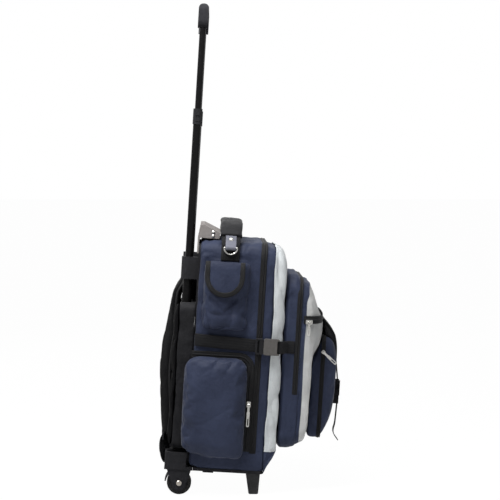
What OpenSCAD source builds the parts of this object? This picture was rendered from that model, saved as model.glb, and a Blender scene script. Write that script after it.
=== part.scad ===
// Wheeled trolley backpack, standing on two wheels and two feet with its handle drawn out.
// Millimetres, +Z up, front towards -Y. The origin is on the floor, under the middle of the bag.

/* [Posture] */
// Forward lean of the bag and its handle, in degrees
lean = 3.5; // [1:0.1:5]
// Move along the depth that centres the bag on the origin
depth_shift = 1.3; // [-10:0.1:20]

/* [Main compartment] */
// Width across the side panels
main_width = 300; // [270:1:330]
// Height of the side panels
main_height = 470; // [450:1:510]
// Depth from the back board to the front seam
main_depth = 180; // [170:1:200]
// Radius of the top corners
top_radius = 32; // [20:1:40]
// Radius of the bottom corners
bottom_radius = 24; // [12:1:30]
// Width of the trim stripe along the front edge
stripe_width = 25; // [18:1:34]
// Width of the zip tape
zip_width = 12; // [8:0.5:16]

/* [Second compartment] */
// Width
second_width = 272; // [240:1:290]
// Height
second_height = 360; // [345:1:375]
// Depth in front of the main compartment
second_depth = 62; // [54:1:80]
// How far the upper front swells past the lower front
swell_depth = 19.5; // [8:0.5:24]

/* [Front pocket] */
// Width
pocket_width = 190; // [150:1:210]
// Depth in front of the second compartment
pocket_depth = 51; // [46:1:60]

/* [Side pockets] */
// Depth of the lower side pocket
side_depth = 37; // [24:1:44]
// Length of the lower side pocket from back to front
side_length = 128; // [110:1:134]
// Height of the lower side pocket
side_height = 202; // [160:1:206]
// Depth of the upper pocket
phone_depth = 27; // [18:1:34]
// Length of the upper pocket from back to front
phone_length = 85; // [74:1:92]
// Height of the upper pocket
phone_height = 142; // [120:1:146]

/* [Trolley handle] */
// Distance between the two tubes
tube_gap = 200; // [180:1:208]
// Outer diameter of the inner tubes
inner_d = 13; // [11:0.1:14]
// Wall of each tube
tube_wall = 1.6; // [1.2:0.1:1.8]
// Radial clearance of one tube in the next
slide_clear = 0.08; // [0.04:0.01:0.1]
// Travel of the grip and the inner tubes
inner_travel = 164; // [120:1:168]
// Travel of the middle tubes
middle_travel = 271; // [220:1:275]
// Depth of the grip
grip_depth = 21; // [18:0.5:24]
// Height of the grip at its ends
grip_height = 50; // [42:1:54]

/* [Wheels] */
// Diameter of a wheel
wheel_d = 50; // [44:1:56]
// Width of a tyre
wheel_width = 22; // [18:1:24]
// Diameter of the axle
axle_d = 6; // [5:0.1:7]
// Thickness of the base plate
plate_t = 6; // [4:0.5:8]

/* [Webbing] */
// Width of the side and front straps
strap_width = 26; // [20:0.5:28]
// Thickness of the webbing
strap_t = 1.6; // [1.2:0.1:2]
// Width of the carry handle webbing
handle_width = 38; // [30:1:42]
// Width of a shoulder strap
shoulder_width = 62; // [50:1:66]
// Thickness of a shoulder strap
shoulder_t = 13; // [9:0.5:15]

/* [Hidden] */
$fn = 48;
// Gap between pieces that are sewn side by side
fit = 0.3;
// Running clearance of a pin in its hole
pin_clear = 0.08;
// Points on each corner of a rounded outline
corner_n = 5;
main_half = main_width / 2;
back_y = 132;
front_y = back_y - main_depth;
wheel_y = back_y + 16;
tube_y = back_y + 23;
tube_x = tube_gap / 2;
// The wheels touch the floor once the bag leans
wheel_z = (wheel_d / 2 - wheel_y * sin(lean)) / cos(lean);
base_z = wheel_z + wheel_d / 2 + 2.6;
deck_z = base_z + plate_t;
bag_z0 = deck_z + fit;
bag_z1 = bag_z0 + main_height;
middle_d = inner_d + 2 * (slide_clear + tube_wall);
outer_d = middle_d + 2 * (slide_clear + tube_wall);
second_half = second_width / 2;
second_z0 = bag_z0 + 47;
second_z1 = second_z0 + second_height;
second_y = front_y - second_depth;
swell_z0 = second_z0 + 189;
swell_z1 = second_z0 + second_height - 46;
pocket_half = pocket_width / 2;
pocket_z0 = second_z0 + 21;
pocket_y = second_y - pocket_depth;
pocket_top = swell_z0 + 44;
// Lower side pocket and what follows above it, in steps up the side panel
side_x = main_half + fit;
side_z0 = bag_z0 + 29;
side_z1 = side_z0 + side_height;
side_w0 = -150;
side_w1 = side_w0 + side_length;
tape_t = 1.6;
side_tape = 9;
buckle_half = strap_width / 2 + 3.5;
strap_z = side_z1 + side_tape + buckle_half + 1;
phone_z0 = strap_z + buckle_half + 11;
phone_z1 = phone_z0 + phone_height;
phone_w0 = -122;
phone_w1 = phone_w0 + phone_length;
board_t = 3.7;
board_y = back_y + fit;
channel_y = board_y + board_t;
channel_depth = outer_d / 2 + tube_y - channel_y + 2;
pad_z0 = deck_z + 36;
pad_z1 = pad_z0 + 300;
pad_t = 10;
keeper_z0 = bag_z0 + 384;
tube_top = keeper_z0 + 46;
collar_h = 32;
middle_bottom = tube_top - 70;
collar_z0 = tube_top + middle_travel + 1.5;
collar_z1 = collar_z0 + collar_h;
grip_z0 = collar_z1 + inner_travel + 2;
grip_z1 = grip_z0 + grip_height;
grip_half = tube_x + 15;
handle_w = -71;
ring_r = 13.4;
wire_d = 3.2;
buckle_x = main_half + 2;
socket_w = -front_y - 40;
front_buckle_z = pocket_top - 131;
front_buckle_y = pocket_y - 5;
socket_len = 33;
plug_len = 17;

// Stands the leaning bag on the floor
module stand() {
  translate([0, depth_shift, 0]) rotate([lean, 0, 0]) children();
}

// Left pieces are drawn at -X, and this mirrors one to the right
module handed(side) {
  mirror([side == "right" ? 1 : 0, 0, 0]) children();
}

module both() {
  children();
  mirror([1, 0, 0]) children();
}

// Turns a piece that faces the front so that it faces the left: x becomes the way forward
module on_left() {
  rotate([0, 0, -90]) children();
}

// Extrudes an outline of forward and up distances across the bag
module across(width) {
  rotate([90, 0, -90]) linear_extrude(height = width, center = true) children();
}

// Rounded outline at depth y, from x0 to x1 and z0 to z1, with its top and bottom radii
function outline(x0, x1, z0, z1, rt, rb, y) =
  let (limit = min(x1 - x0, z1 - z0) / 2 - 0.5)
  let (top = min(rt, limit))
  let (low = min(rb, limit))
  [for (c = [0 : 3]) for (i = [0 : corner_n])
    let (r = c < 2 ? top : low)
    let (a = 90 * (c + i / corner_n))
    let (cx = (c == 0 || c == 3) ? x1 - r : x0 + r)
    let (cz = c < 2 ? z1 - r : z0 + r)
    [cx + r * cos(a), y, cz + r * sin(a)]];

// Skins a row of outlines, listed from the front to the back
module loft(rings) {
  n = len(rings[0]);
  m = len(rings);
  points = [for (ring = rings) each ring];
  walls = [for (k = [0 : m - 2]) for (i = [0 : n - 1]) for (half = [0, 1])
    let (a = k * n + i)
    let (b = k * n + (i + 1) % n)
    half == 0 ? [a, b, b + n] : [a, b + n, a + n]];
  front = [for (i = [n - 1 : -1 : 0]) i];
  back = [for (i = [0 : n - 1]) (m - 1) * n + i];
  polyhedron(points = points, faces = concat([front], walls, [back]));
}

// Unit way along a path at point i, and the strip of thickness t that follows the path
function unit(v) = v / norm(v);
function way(p, i) = unit(p[min(i + 1, len(p) - 1)] - p[max(i - 1, 0)]);
function beside(p, i, d) = p[i] + d * [-way(p, i)[1], way(p, i)[0]];
function strip(p, t) = concat(
  [for (i = [0 : len(p) - 1]) beside(p, i, t / 2)],
  [for (i = [len(p) - 1 : -1 : 0]) beside(p, i, -t / 2)]);

module rounded(x0, x1, y0, y1, r) {
  translate([x0 + r, y0]) square([x1 - x0 - 2 * r, y1 - y0]);
  translate([x0, y0 + r]) square([x1 - x0, y1 - y0 - 2 * r]);
  for (x = [x0 + r, x1 - r]) for (y = [y0 + r, y1 - r]) translate([x, y]) circle(r);
}

// Chassis

housing_x0 = main_half;
housing_x1 = tube_x - 16;
housing_y0 = wheel_y - 26;
housing_y1 = wheel_y + 32;
wheel_x = main_half - 22;
cheek_gap = wheel_width / 2 + 3.6;
cheek_t = 5.4;
socket_top = deck_z + 30;
plate_y0 = -22;

module chassis_plate() {
  color("#1b1b1d") stand() {
    difference() {
      translate([0, 0, base_z]) linear_extrude(plate_t)
        rounded(-main_half + 2, main_half - 2, plate_y0, housing_y1, 10);
      both() translate([-main_half - 1, housing_y0 - fit, base_z - 1])
        cube([main_half + 1 - housing_x1 + fit, housing_y1, plate_t + 2]);
    }
    both() translate([-66, plate_y0 + 14, base_z - 7]) cube([6, housing_y1 - plate_y0 - 30, 8]);
    both() translate([-main_half + 12, 79, base_z - 4]) cube([24, 22, 5]);
    translate([-66, 60, base_z - 7]) cube([132, 6, 8]);
    translate([-66, 120, base_z - 7]) cube([132, 6, 8]);
  }
}

// Leg that carries the axle: a rounded end about the axle that widens up to the deck
module cheek() {
  translate([-wheel_y, wheel_z]) circle(15.5);
  polygon([[-wheel_y - 15.5, wheel_z], [-wheel_y + 15.5, wheel_z],
    [-housing_y0 - 3, base_z + 1], [-housing_y1 + 5, base_z + 1]]);
}

module wheel_housing(side) {
  color("#1b1b1d") stand() handed(side) difference() {
    union() {
      translate([-housing_x0, housing_y0, base_z])
        cube([housing_x0 - housing_x1, housing_y1 - housing_y0, plate_t]);
      for (d = [-1, 1]) translate([-wheel_x + d * (cheek_gap + cheek_t / 2), 0, 0])
        across(cheek_t) cheek();
      intersection() {
        translate([-wheel_x, wheel_y, wheel_z]) rotate([0, 90, 0]) difference() {
          cylinder(r = wheel_d / 2 + 5, h = 2 * (cheek_gap + cheek_t), center = true);
          cylinder(r = wheel_d / 2 + 2.2, h = 99, center = true);
        }
        translate([-wheel_x - 50, wheel_y, wheel_z + 3]) cube([100, 60, base_z - wheel_z - 2]);
      }
      translate([-tube_x - 16, channel_y, deck_z - 1])
        cube([32, housing_y1 - channel_y, socket_top - deck_z + 1]);
      translate([-housing_x0, channel_y, deck_z - 1]) cube([4, housing_y1 - channel_y - 8, 31]);
      translate([-housing_x0 + 8, housing_y1 - 4, deck_z - 1])
        cube([housing_x0 - housing_x1 - 8, 4, 31]);
      translate([-housing_x0 + 8, housing_y1 - 8, deck_z - 1]) intersection() {
        cylinder(r = 8, h = 31);
        translate([-9, -1, 0]) cube([10, 10, 31]);
      }
    }
    translate([-wheel_x, wheel_y, wheel_z]) rotate([0, 90, 0])
      cylinder(d = axle_d, h = 120, center = true);
    translate([-tube_x, tube_y, deck_z + 4]) cylinder(d = outer_d, h = 99);
  }
}

module axle_pins() {
  color("#c8cacc") stand() both() translate([-wheel_x, wheel_y, wheel_z]) rotate([0, -90, 0]) {
    cylinder(d = axle_d, h = 2 * (cheek_gap + cheek_t) + 1, center = true);
    translate([0, 0, cheek_gap + cheek_t]) cylinder(d = 11, h = 1.4);
    translate([0, 0, cheek_gap + cheek_t + 1.4]) cylinder(d1 = 11, d2 = 7, h = 1.4);
    translate([0, 0, -cheek_gap - cheek_t - 2]) cylinder(d = 9, h = 2);
  }
}

// Foot with a flat sole on the floor: its profile is set in the upright frame and turned back
function lay(w, z) = [w * cos(lean) - z * sin(lean), w * sin(lean) + z * cos(lean)];

module front_feet() {
  foot_w = 30;
  color("#1b1b1d") stand() both() translate([-main_half + 12 + foot_w / 2, 0, 0])
    difference() {
      across(foot_w) intersection() {
        polygon([lay(-2, 0), lay(14, 0), lay(16, 2), lay(22.5, 70), lay(-13, 70), lay(-4, 2)]);
        translate([-40, -20]) square([80, 20 + base_z]);
      }
      translate([0, -3, base_z - 12]) cylinder(d = 9, h = 20);
    }
}

// Wheels

module wheel_tyre(side) {
  color("#19191b") stand() handed(side) translate([-wheel_x, wheel_y, wheel_z])
    rotate([0, 90, 0]) rotate_extrude() {
      translate([wheel_d / 2 - 8, -wheel_width / 2]) square([4, wheel_width]);
      translate([wheel_d / 2 - 8, -wheel_width / 2 + 4]) square([8, wheel_width - 8]);
      for (s = [-1, 1]) translate([wheel_d / 2 - 4, s * (wheel_width / 2 - 4)]) circle(4);
    }
}

module wheel_hub(side) {
  spoke_r = wheel_d / 2 - 13;
  color("#2a2a2c") stand() handed(side) translate([-wheel_x, wheel_y, wheel_z])
    rotate([0, 90, 0]) difference() {
      union() {
        cylinder(r = wheel_d / 2 - 8, h = wheel_width - 4, center = true);
        cylinder(r = axle_d / 2 + 4, h = 2 * cheek_gap - 2 * fit, center = true);
      }
      cylinder(d = axle_d + 2 * pin_clear, h = 99, center = true);
      for (a = [0 : 60 : 300]) rotate([0, 0, a]) translate([spoke_r - 0.3, 0, 0])
        cylinder(r = 2.6, h = 99, center = true);
    }
}

// Trolley handle

module tube(d, z0, z1) {
  translate([-tube_x, tube_y, z0]) difference() {
    cylinder(d = d, h = z1 - z0);
    translate([0, 0, -1]) cylinder(d = d - 2 * tube_wall, h = z1 - z0 + 2);
  }
}

module outer_tubes() {
  color("#161517") stand() both() tube(outer_d, deck_z + 4, tube_top);
}

module middle_tubes() {
  color("#161517") stand() both() tube(middle_d, middle_bottom, collar_z1 - 2);
}

module inner_tubes() {
  color("#1c1b1d") stand() both() tube(inner_d, collar_z1 - 90, grip_z0 + 24);
}

module middle_collars() {
  color("#232326") stand() both() difference() {
    union() {
      translate([-tube_x, tube_y, collar_z0]) cylinder(d = middle_d + 2.6, h = collar_h);
      for (z = [6, 18]) translate([-tube_x - middle_d / 2 - 2, tube_y - 4, collar_z0 + z])
        cube([4, 8, 8]);
    }
    translate([-tube_x, tube_y, collar_z0 - 1]) cylinder(d = middle_d, h = collar_h - 1);
    translate([-tube_x, tube_y, collar_z0]) cylinder(d = inner_d + 2 * slide_clear, h = 99);
  }
}

button_half = 29;

// Staple-shaped grip: the front outline crossed with a domed section
module trolley_grip() {
  bar = 28;
  well = 13;
  color("#222225") stand() translate([0, tube_y, 0]) difference() {
    intersection() {
      rotate([90, 0, 0]) linear_extrude(height = grip_depth + 2, center = true) difference() {
        rounded(-grip_half, grip_half, grip_z0, grip_z1, 15);
        rounded(-tube_x + 14, tube_x - 14, grip_z0 - 20, grip_z1 - bar, 9);
      }
      across(2 * grip_half + 2) union() {
        translate([0, grip_z1 - grip_depth / 2]) circle(grip_depth / 2);
        translate([-grip_depth / 2, grip_z0 - 1])
          square([grip_depth, grip_height - grip_depth / 2 + 1]);
      }
    }
    both() translate([-tube_x, 0, grip_z0 - 1]) cylinder(d = inner_d, h = 25);
    translate([0, 0, grip_z1 - well]) linear_extrude(well + 5) button_plan(pin_clear);
    for (x = [-60, -48, 48, 60]) translate([x, 0, grip_z1 - bar]) rotate([90, 0, 0])
      cylinder(r = 2, h = 40, center = true);
  }
}

module button_plan(grow) {
  square([2 * button_half - 12, 12 + 2 * grow], center = true);
  for (s = [-1, 1]) translate([s * (button_half - 6), 0]) circle(6 + grow);
}

module grip_button() {
  color("#8f9092") stand() translate([0, tube_y, grip_z1 - 8]) linear_extrude(11.5) button_plan(0);
}

module tube_keepers() {
  color("#1c1c1e") stand() both() translate([0, 0, keeper_z0]) linear_extrude(45.5) difference() {
    union() {
      translate([-tube_x, tube_y]) circle(outer_d / 2 + 5);
      translate([-tube_x - outer_d / 2 - 5, channel_y])
        square([outer_d + 10, tube_y - channel_y]);
    }
    translate([-tube_x, tube_y]) circle(d = outer_d);
  }
}

module frame_board() {
  color("#3a3a3c") stand() translate([0, channel_y, 0]) rotate([90, 0, 0])
    linear_extrude(board_t) difference() {
      rounded(-main_half + 12, main_half - 12, bag_z0 + 2, bag_z1 - 12, 20);
      for (x = [-45, 45]) for (z = [0 : 2])
        translate([x - 12, bag_z0 + 60 + z * 110]) rounded(0, 24, 0, 70, 10);
    }
}

bracket_half = tube_x + 18;
bracket_z0 = bag_z1 + fit;

module bracket_profile(inset) {
  polygon([[-channel_y - 3.5 + inset, bracket_z0 - (inset > 0 ? 1 : 0)],
    [-channel_y + 0.6 + inset, bracket_z0 + 27 - inset],
    [-channel_y + 9 - inset / 2, bracket_z0 + 27 - inset],
    [-channel_y + 43 - 1.5 * inset, bracket_z0 + 12 - inset],
    [-channel_y + 40 - inset, bracket_z0 - (inset > 0 ? 1 : 0)]]);
}

rivet_w = -channel_y + 28;

module top_bracket() {
  color("#918c8a") stand() difference() {
    union() {
      across(2 * bracket_half) bracket_profile(0);
      translate([-bracket_half, channel_y, bag_z1 - 32]) cube([2 * bracket_half, 3.5, 34]);
    }
    across(2 * bracket_half - 6) bracket_profile(3);
    both() for (z = [5, 13]) translate([-bracket_half, -rivet_w, bracket_z0 + z])
      rotate([0, 90, 0]) cylinder(d = 2.6, h = 20, center = true);
  }
}

module dome(head) {
  rotate([0, -90, 0]) intersection() {
    translate([0, 0, 2.2 - head * 0.75]) sphere(head * 0.75);
    cylinder(d = head, h = 3);
  }
}

// Rivets of the bracket, whose shanks pass 3 mm inwards, and the snaps of the handle tabs
module rivets() {
  color("#d6d8da") stand() both() {
    for (z = [5, 13]) translate([-bracket_half, -rivet_w, bracket_z0 + z]) {
      dome(7);
      rotate([0, 90, 0]) cylinder(d = 2.6, h = 3);
    }
    translate([snap_at[0], -handle_w, snap_at[1]]) rotate([0, 90 - snap_turn, 0]) dome(8.4);
  }
}

// Main compartment

zip_w0 = -7.5;
stripe_y = front_y + stripe_width;

function main_ring(inset, rise, y) = outline(-main_half + inset, main_half - inset,
  bag_z0 + rise, bag_z1 - rise, top_radius, bottom_radius, y);

module main_compartment() {
  color("#333a55") stand() loft([
    main_ring(0, 0, stripe_y + fit / 2),
    main_ring(0, 0, back_y - 9),
    main_ring(2.5, 2.5, back_y - 2.5),
    main_ring(8, 8, back_y)]);
}

// Front panel whose edge rolls from the side panels over to the front face
module main_front_panel() {
  reach = stripe_width - fit / 2;
  color("#b4b7b9") stand() loft([for (a = [90 : -22.5 : 0])
    let (in = 1 - cos(a))
    main_ring(14 * in, 36 * in, stripe_y - fit / 2 - reach * sin(a))]);
}

module main_zip_tape() {
  lift = 1.4;
  y0 = -zip_w0 - zip_width;
  color("#1c1c1e") stand() difference() {
    loft([for (y = [y0, -zip_w0]) main_ring(-lift, -lift, y)]);
    loft([for (y = [y0 - 1, -zip_w0 + 1]) main_ring(-0.02, -0.02, y)]);
    translate([-main_half, y0 - 5, bag_z0 - 40]) cube([2 * main_half, 60, 72]);
    translate([-main_half - 9, y0 - 5, bag_z0 - 40]) cube([2 * main_half + 18, 60, 70]);
  }
}

// Second compartment

second_zip_y = front_y - 25;

function second_ring(inset, z0, z1, y) = outline(-second_half + inset, second_half - inset,
  second_z0 + z0, second_z1 - z1, 38, 28, y);

module second_compartment() {
  y1 = front_y - fit;
  color("#333a55") stand() loft([
    second_ring(2, 5, 18, second_zip_y - 12),
    second_ring(0, 2, 14, second_zip_y - 11),
    second_ring(0, 1, 1, second_zip_y + 1),
    second_ring(0, 0, 0, second_zip_y + 5),
    second_ring(0, 0, 0, y1 - 6),
    second_ring(6, 6, 6, y1)]);
}

module second_zip_tape() {
  y0 = second_zip_y - 10.5;
  color("#1c1c1e") stand() difference() {
    loft([second_ring(-1.4, 1.5, 12, y0), second_ring(-1.4, -0.5, -0.4, second_zip_y + 0.8)]);
    loft([second_ring(-0.02, 3, 13.6, y0 - 0.2), second_ring(-0.02, 1, 1, second_zip_y + 1)]);
    translate([-main_half, second_y - 40, second_z0 - 40]) cube([2 * main_half, 200, 150]);
  }
}

// Front panel of the second compartment: flat below, swollen above
module second_front_panel() {
  y1 = second_zip_y - 12 - fit;
  color("#a9acae") stand() loft([
    outline(-second_half + 46, second_half - 46, swell_z0 + 37, swell_z1 - 45, 20, 20,
      second_y - swell_depth),
    outline(-second_half + 24, second_half - 24, swell_z0 + 23, swell_z1 - 37, 26, 26,
      second_y - swell_depth * 0.77),
    outline(-second_half + 10, second_half - 10, swell_z0 + 14, swell_z1 - 20, 30, 30,
      second_y - swell_depth * 0.41),
    outline(-second_half + 3, second_half - 3, swell_z0, swell_z1, 34, 30, second_y - 0.2),
    outline(-second_half + 3, second_half - 3, second_z0 + 29, swell_z1 + 2, 34, 28, second_y),
    outline(-second_half, second_half, second_z0 + 13, swell_z1 + 16, 36, 28, second_y + 6),
    second_ring(0, 7, 17, second_y + 13),
    second_ring(0, 2, 14, y1 - 1),
    second_ring(2, 5, 18, y1)]);
}

// Zip across the swell, running round both of its corners
module swell_zip() {
  band_z = swell_z0 + 70;
  h = second_half + 0.8;
  d = swell_depth;
  left = [[-h, second_y + 22], [-h, second_y + 6.6], [-h + 2.8, second_y - 0.8],
    [-h + 10.5, second_y - d * 0.41 - 0.9], [-h + 24.5, second_y - d * 0.77 - 1.2],
    [-h + 46.5, second_y - d - 1.2]];
  right = [for (i = [len(left) - 1 : -1 : 0]) [-left[i][0], left[i][1]]];
  translate([0, 0, band_z]) linear_extrude(11) polygon(strip(concat(left, right), 1));
}

// Front pocket, its trim, flap, strap and buckle

function pocket_ring(inset, z0, z1, r, y) = outline(-pocket_half + inset, pocket_half - inset,
  pocket_z0 + z0, pocket_top - z1, r, r, y);

module front_pocket() {
  d = pocket_depth;
  s = swell_depth;
  color("#333a55") stand() loft([
    pocket_ring(13, 82, 30, 24, pocket_y),
    pocket_ring(5, 58, 18, 22, pocket_y + 0.05 * d),
    pocket_ring(0, 32, 6, 20, pocket_y + 0.18 * d),
    pocket_ring(0, 14, 1, 18, pocket_y + 0.33 * d),
    pocket_ring(0, 1, 0, 16, pocket_y + 0.49 * d),
    pocket_ring(0, 0, 0, 14, second_y - s - 2.1),
    pocket_ring(0, 0, 12, 14, second_y - s - 0.5),
    pocket_ring(0, 0, 24, 14, second_y - s * 0.77),
    pocket_ring(0, 0, 32, 14, second_y - s * 0.43),
    pocket_ring(0, 0, 46, 14, second_y - fit)]);
}

module pocket_zip() {
  y0 = second_y - swell_depth - 8;
  y1 = second_y - swell_depth - 2.2;
  difference() {
    loft([pocket_ring(-1.6, -1.6, -1.6, 15, y0), pocket_ring(-1.6, -1.6, -1.6, 15, y1)]);
    loft([pocket_ring(-0.02, -0.02, -0.02, 14, y0 - 1), pocket_ring(-0.02, -0.02, -0.02, 14, y1 + 1)]);
  }
}

module front_zip_tapes() {
  color("#1c1c1e") stand() {
    swell_zip();
    pocket_zip();
  }
}

// Padded flap that slopes from the swell down over the top of the pocket
module front_flap() {
  a = -second_y + swell_depth + 1.2;
  b = -pocket_y;
  t = pocket_top;
  color("#1c1c1e") stand() across(pocket_width - 34) polygon([[a, t + 2.4], [a, t + 24],
    [a + 3, t + 26.5], [a + 12, t + 21], [b - 3.5, t + 4], [b + 1.5, t - 18], [b + 2.2, t - 34],
    [b + 2.2, t - 72], [b + 0.5, t - 72], [b + 0.5, t - 28.5], [b - 1.6, t - 16.5],
    [b - 8.2, t - 4.2], [b - 17, t + 2.4]]);
}

// Strap held by the flap above, and sewn under the pocket below
module front_strap() {
  b = -pocket_y;
  t = pocket_top;
  f = -front_buckle_y;
  z = front_buckle_z;
  upper = [[b - 2.3, t + 3.8], [b + 2.6, t - 17.6], [b + 3.4, t - 33],
    [f + 7.5, z + socket_len + 6], [f + 7.5, z + socket_len - 5]];
  lower = [[f + 3.3, z - 1], [f + 3.3, z - 50], [f - 3, z - 63], [b - 18, z - 76],
    [b - 21.5, pocket_z0 - 1.4]];
  color("#1c1c1e") stand() {
    across(strap_width) polygon(strip(upper, strap_t));
    across(strap_width) polygon(strip(lower, strap_t));
  }
}

// Side-release buckle: x across the strap, y from plug to socket, z up from the panel

module buckle_socket() {
  half = buckle_half;
  difference() {
    translate([0, 0, 2]) linear_extrude(11) rounded(-half, half, 0, socket_len, 4);
    translate([-half + 2.9, -1, 4.6]) cube([2 * half - 5.8, 27, 5.8]);
    translate([-half - 1, 12.5, 4.6]) cube([2 * half + 2, 11, 5.8]);
    translate([-strap_width / 2 - 0.4, 27.6, 6.4]) cube([strap_width + 0.8, 9, 9]);
  }
}

module buckle_plug() {
  half = buckle_half;
  arm_x = half - 6.6;
  difference() {
    translate([0, 0, 0.4]) linear_extrude(11.6) rounded(-half + 0.4, half - 0.4, -plug_len, -fit, 4);
    translate([-strap_width / 2 - 0.4, -plug_len - 1, 2.1])
      cube([strap_width + 0.8, plug_len + 2, strap_t + 0.8]);
    translate([-strap_width / 2, -plug_len + 4, 8]) cube([strap_width, 4, 5]);
  }
  translate([-3, -1, 5.1]) cube([6, 24, 4.8]);
  both() {
    translate([-arm_x - 3.4, -1, 5.1]) cube([3.4, 25, 4.8]);
    translate([-arm_x, 20, 5.1]) cube([2.4, 4, 4.8]);
  }
}

// Sets a buckle on the left panel, pulling forward, or on the front, pulling up
module side_place() {
  multmatrix([[0, 0, -1, -buckle_x], [0, -1, 0, -socket_w], [-1, 0, 0, strap_z], [0, 0, 0, 1]])
    children();
}

module front_place() {
  translate([0, front_buckle_y, front_buckle_z]) rotate([90, 0, 0]) children();
}

module front_buckle_socket() {
  color("#3c3a39") stand() front_place() buckle_socket();
}

module front_buckle_plug() {
  color("#232224") stand() front_place() buckle_plug();
}

// Loose end of the strap, hanging from the plug and curling forward at its tip
module front_strap_tail() {
  f = -front_buckle_y;
  z = front_buckle_z - plug_len;
  path = [[f + 10, z - fit], [f + 9.2, z - 20], [f + 8, z - 42], [f + 5, z - 55], [f + 7, z - 66],
    [f + 17, z - 79]];
  color("#1c1c1e") stand() across(strap_width - 2) polygon(strip(path, strap_t));
}

module side_buckle_sockets() {
  color("#504d4a") stand() both() side_place() buckle_socket();
}

module side_buckle_plug(side) {
  color("#232224") stand() handed(side) side_place() buckle_plug();
}

module side_straps() {
  half = strap_width / 2;
  start = -socket_w - back_y - 1;
  drop = main_half + 2 - second_half - 1.2;
  tab = [[28.5, 7.8], [34, 7.4], [39, 5], [44, -4], [48, -drop + 2], [51, -drop], [64, -drop]];
  color("#1c1c1e") stand() both() side_place() {
    translate([-half, start, 2.5]) cube([strap_width, -start - 1, strap_t]);
    translate([-half, start, -1.7]) cube([strap_width, 13, 5]);
    rotate([90, 0, 90]) linear_extrude(height = strap_width, center = true)
      polygon(strip(tab, strap_t));
  }
}

// Side pockets

function side_ring(inset, out) = outline(side_w0 + inset, side_w1 - inset, side_z0 + inset,
  side_z1 - inset, 24, 18, -side_x - out);

module side_pockets() {
  d = side_depth;
  color("#3a4160") stand() both() on_left() loft([
    side_ring(26, d), side_ring(14, d - 1.4), side_ring(6, d - 4.5), side_ring(1.5, d - 10),
    side_ring(0, d - 18), side_ring(0, 0)]);
}

module side_zip_tapes() {
  color("#1c1c1e") stand() both() on_left() translate([0, -side_x, 0]) rotate([90, 0, 0])
    linear_extrude(tape_t) difference() {
      rounded(side_w0 + 20, side_w1 + 14, side_z0 + 6, side_z1 + side_tape, 30);
      rounded(side_w0 - 40, side_w1 + fit, side_z0 - 60, side_z1 + fit, 24);
      translate([side_w1 - 60, side_z0 - 2]) square([60.3, 60]);
    }
}

function phone_ring(inset, out) = outline(phone_w0 + inset, phone_w1 - inset, phone_z0 + inset,
  phone_z1 - inset / 3, 12, 14, -side_x - out);

module phone_pockets() {
  d = phone_depth;
  color("#3a4160") stand() both() on_left() loft([
    phone_ring(14, d), phone_ring(6, d - 1.5), phone_ring(2, d - 5), phone_ring(0, d - 11),
    phone_ring(0, 0)]);
}

flap_half = phone_length / 2 - 2;
flap_t = 2.2;
flap_x = side_x + phone_depth;

module flap_plan(inset) {
  w = (phone_w0 + phone_w1) / 2;
  r = flap_half - inset;
  intersection() {
    translate([w, phone_z1 - 32]) circle(r);
    translate([w - r, phone_z1 - 32 - r]) square([2 * r, r + 1]);
  }
  translate([w - r, phone_z1 - 32]) square([2 * r, 31 - inset / 4]);
}

// Lid of the upper pocket with a rolled hem along its hinge and a raised binding round its edge
module phone_flap(side) {
  color("#2b3046") stand() handed(side) on_left() translate([0, -flap_x - fit, 0])
    rotate([90, 0, 0]) {
      linear_extrude(flap_t) flap_plan(0);
      translate([(phone_w0 + phone_w1) / 2, phone_z1 - 1, flap_t / 2]) rotate([0, 90, 0])
        cylinder(d = flap_t, h = 2 * flap_half, center = true);
      linear_extrude(3.4) difference() {
        flap_plan(0);
        flap_plan(9);
      }
    }
}

// Back

yoke_t = 17;

module back_shell() {
  z1 = pad_z1;
  color("#1b1b1d") stand() difference() {
    translate([0, channel_y + channel_depth, 0]) rotate([90, 0, 0]) linear_extrude(channel_depth)
      difference() {
        rounded(-main_half + 8, main_half - 8, pad_z0, z1, 16);
        rounded(-main_half + 15, main_half - 15, pad_z0 + 7, z1 - 7, 12);
      }
    both() translate([-tube_x, tube_y, pad_z0 - 5]) cylinder(d = outer_d + 0.4, h = 400);
  }
}

module lumbar_pad() {
  y0 = channel_y + channel_depth + fit;
  loft([
    outline(-main_half + 10, main_half - 10, pad_z0 + 1, pad_z1 - 1, 16, 16, y0),
    outline(-main_half + 8, main_half - 8, pad_z0, pad_z1, 18, 18, y0 + 3),
    outline(-main_half + 10, main_half - 10, pad_z0 + 2, pad_z1 - 2, 18, 18, y0 + 0.6 * pad_t),
    outline(-main_half + 16, main_half - 16, pad_z0 + 8, pad_z1 - 8, 18, 18, y0 + 0.9 * pad_t),
    outline(-main_half + 30, main_half - 30, pad_z0 + 22, pad_z1 - 22, 18, 18, y0 + pad_t)]);
}

module yoke_pad() {
  half = tube_x - 24;
  z0 = pad_z1 + 3;
  loft([
    outline(-half + 2, half - 2, z0 + 2, z0 + 60, 12, 12, channel_y),
    outline(-half, half, z0, z0 + 62, 14, 14, channel_y + 4),
    outline(-half, half, z0, z0 + 62, 14, 14, channel_y + 12),
    outline(-half + 6, half - 6, z0 + 6, z0 + 56, 14, 14, channel_y + yoke_t)]);
}

module back_pads() {
  color("#1f1f22") stand() {
    lumbar_pad();
    yoke_pad();
  }
}

// Shoulder strap: rounded sections strung along a bowed path, drifting outwards as it falls
shoulder_path = [[channel_y + yoke_t + 5.4, pad_z1 + 54], [channel_y + 33, pad_z1 + 36],
  [channel_y + 45, pad_z1 + 10], [channel_y + 54, pad_z1 - 44], [channel_y + 60.5, pad_z1 - 84],
  [channel_y + 63, pad_z1 - 130], [channel_y + 60.5, pad_z1 - 184], [channel_y + 55, pad_z1 - 236],
  [channel_y + 50, pad_z1 - 274]];

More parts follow.
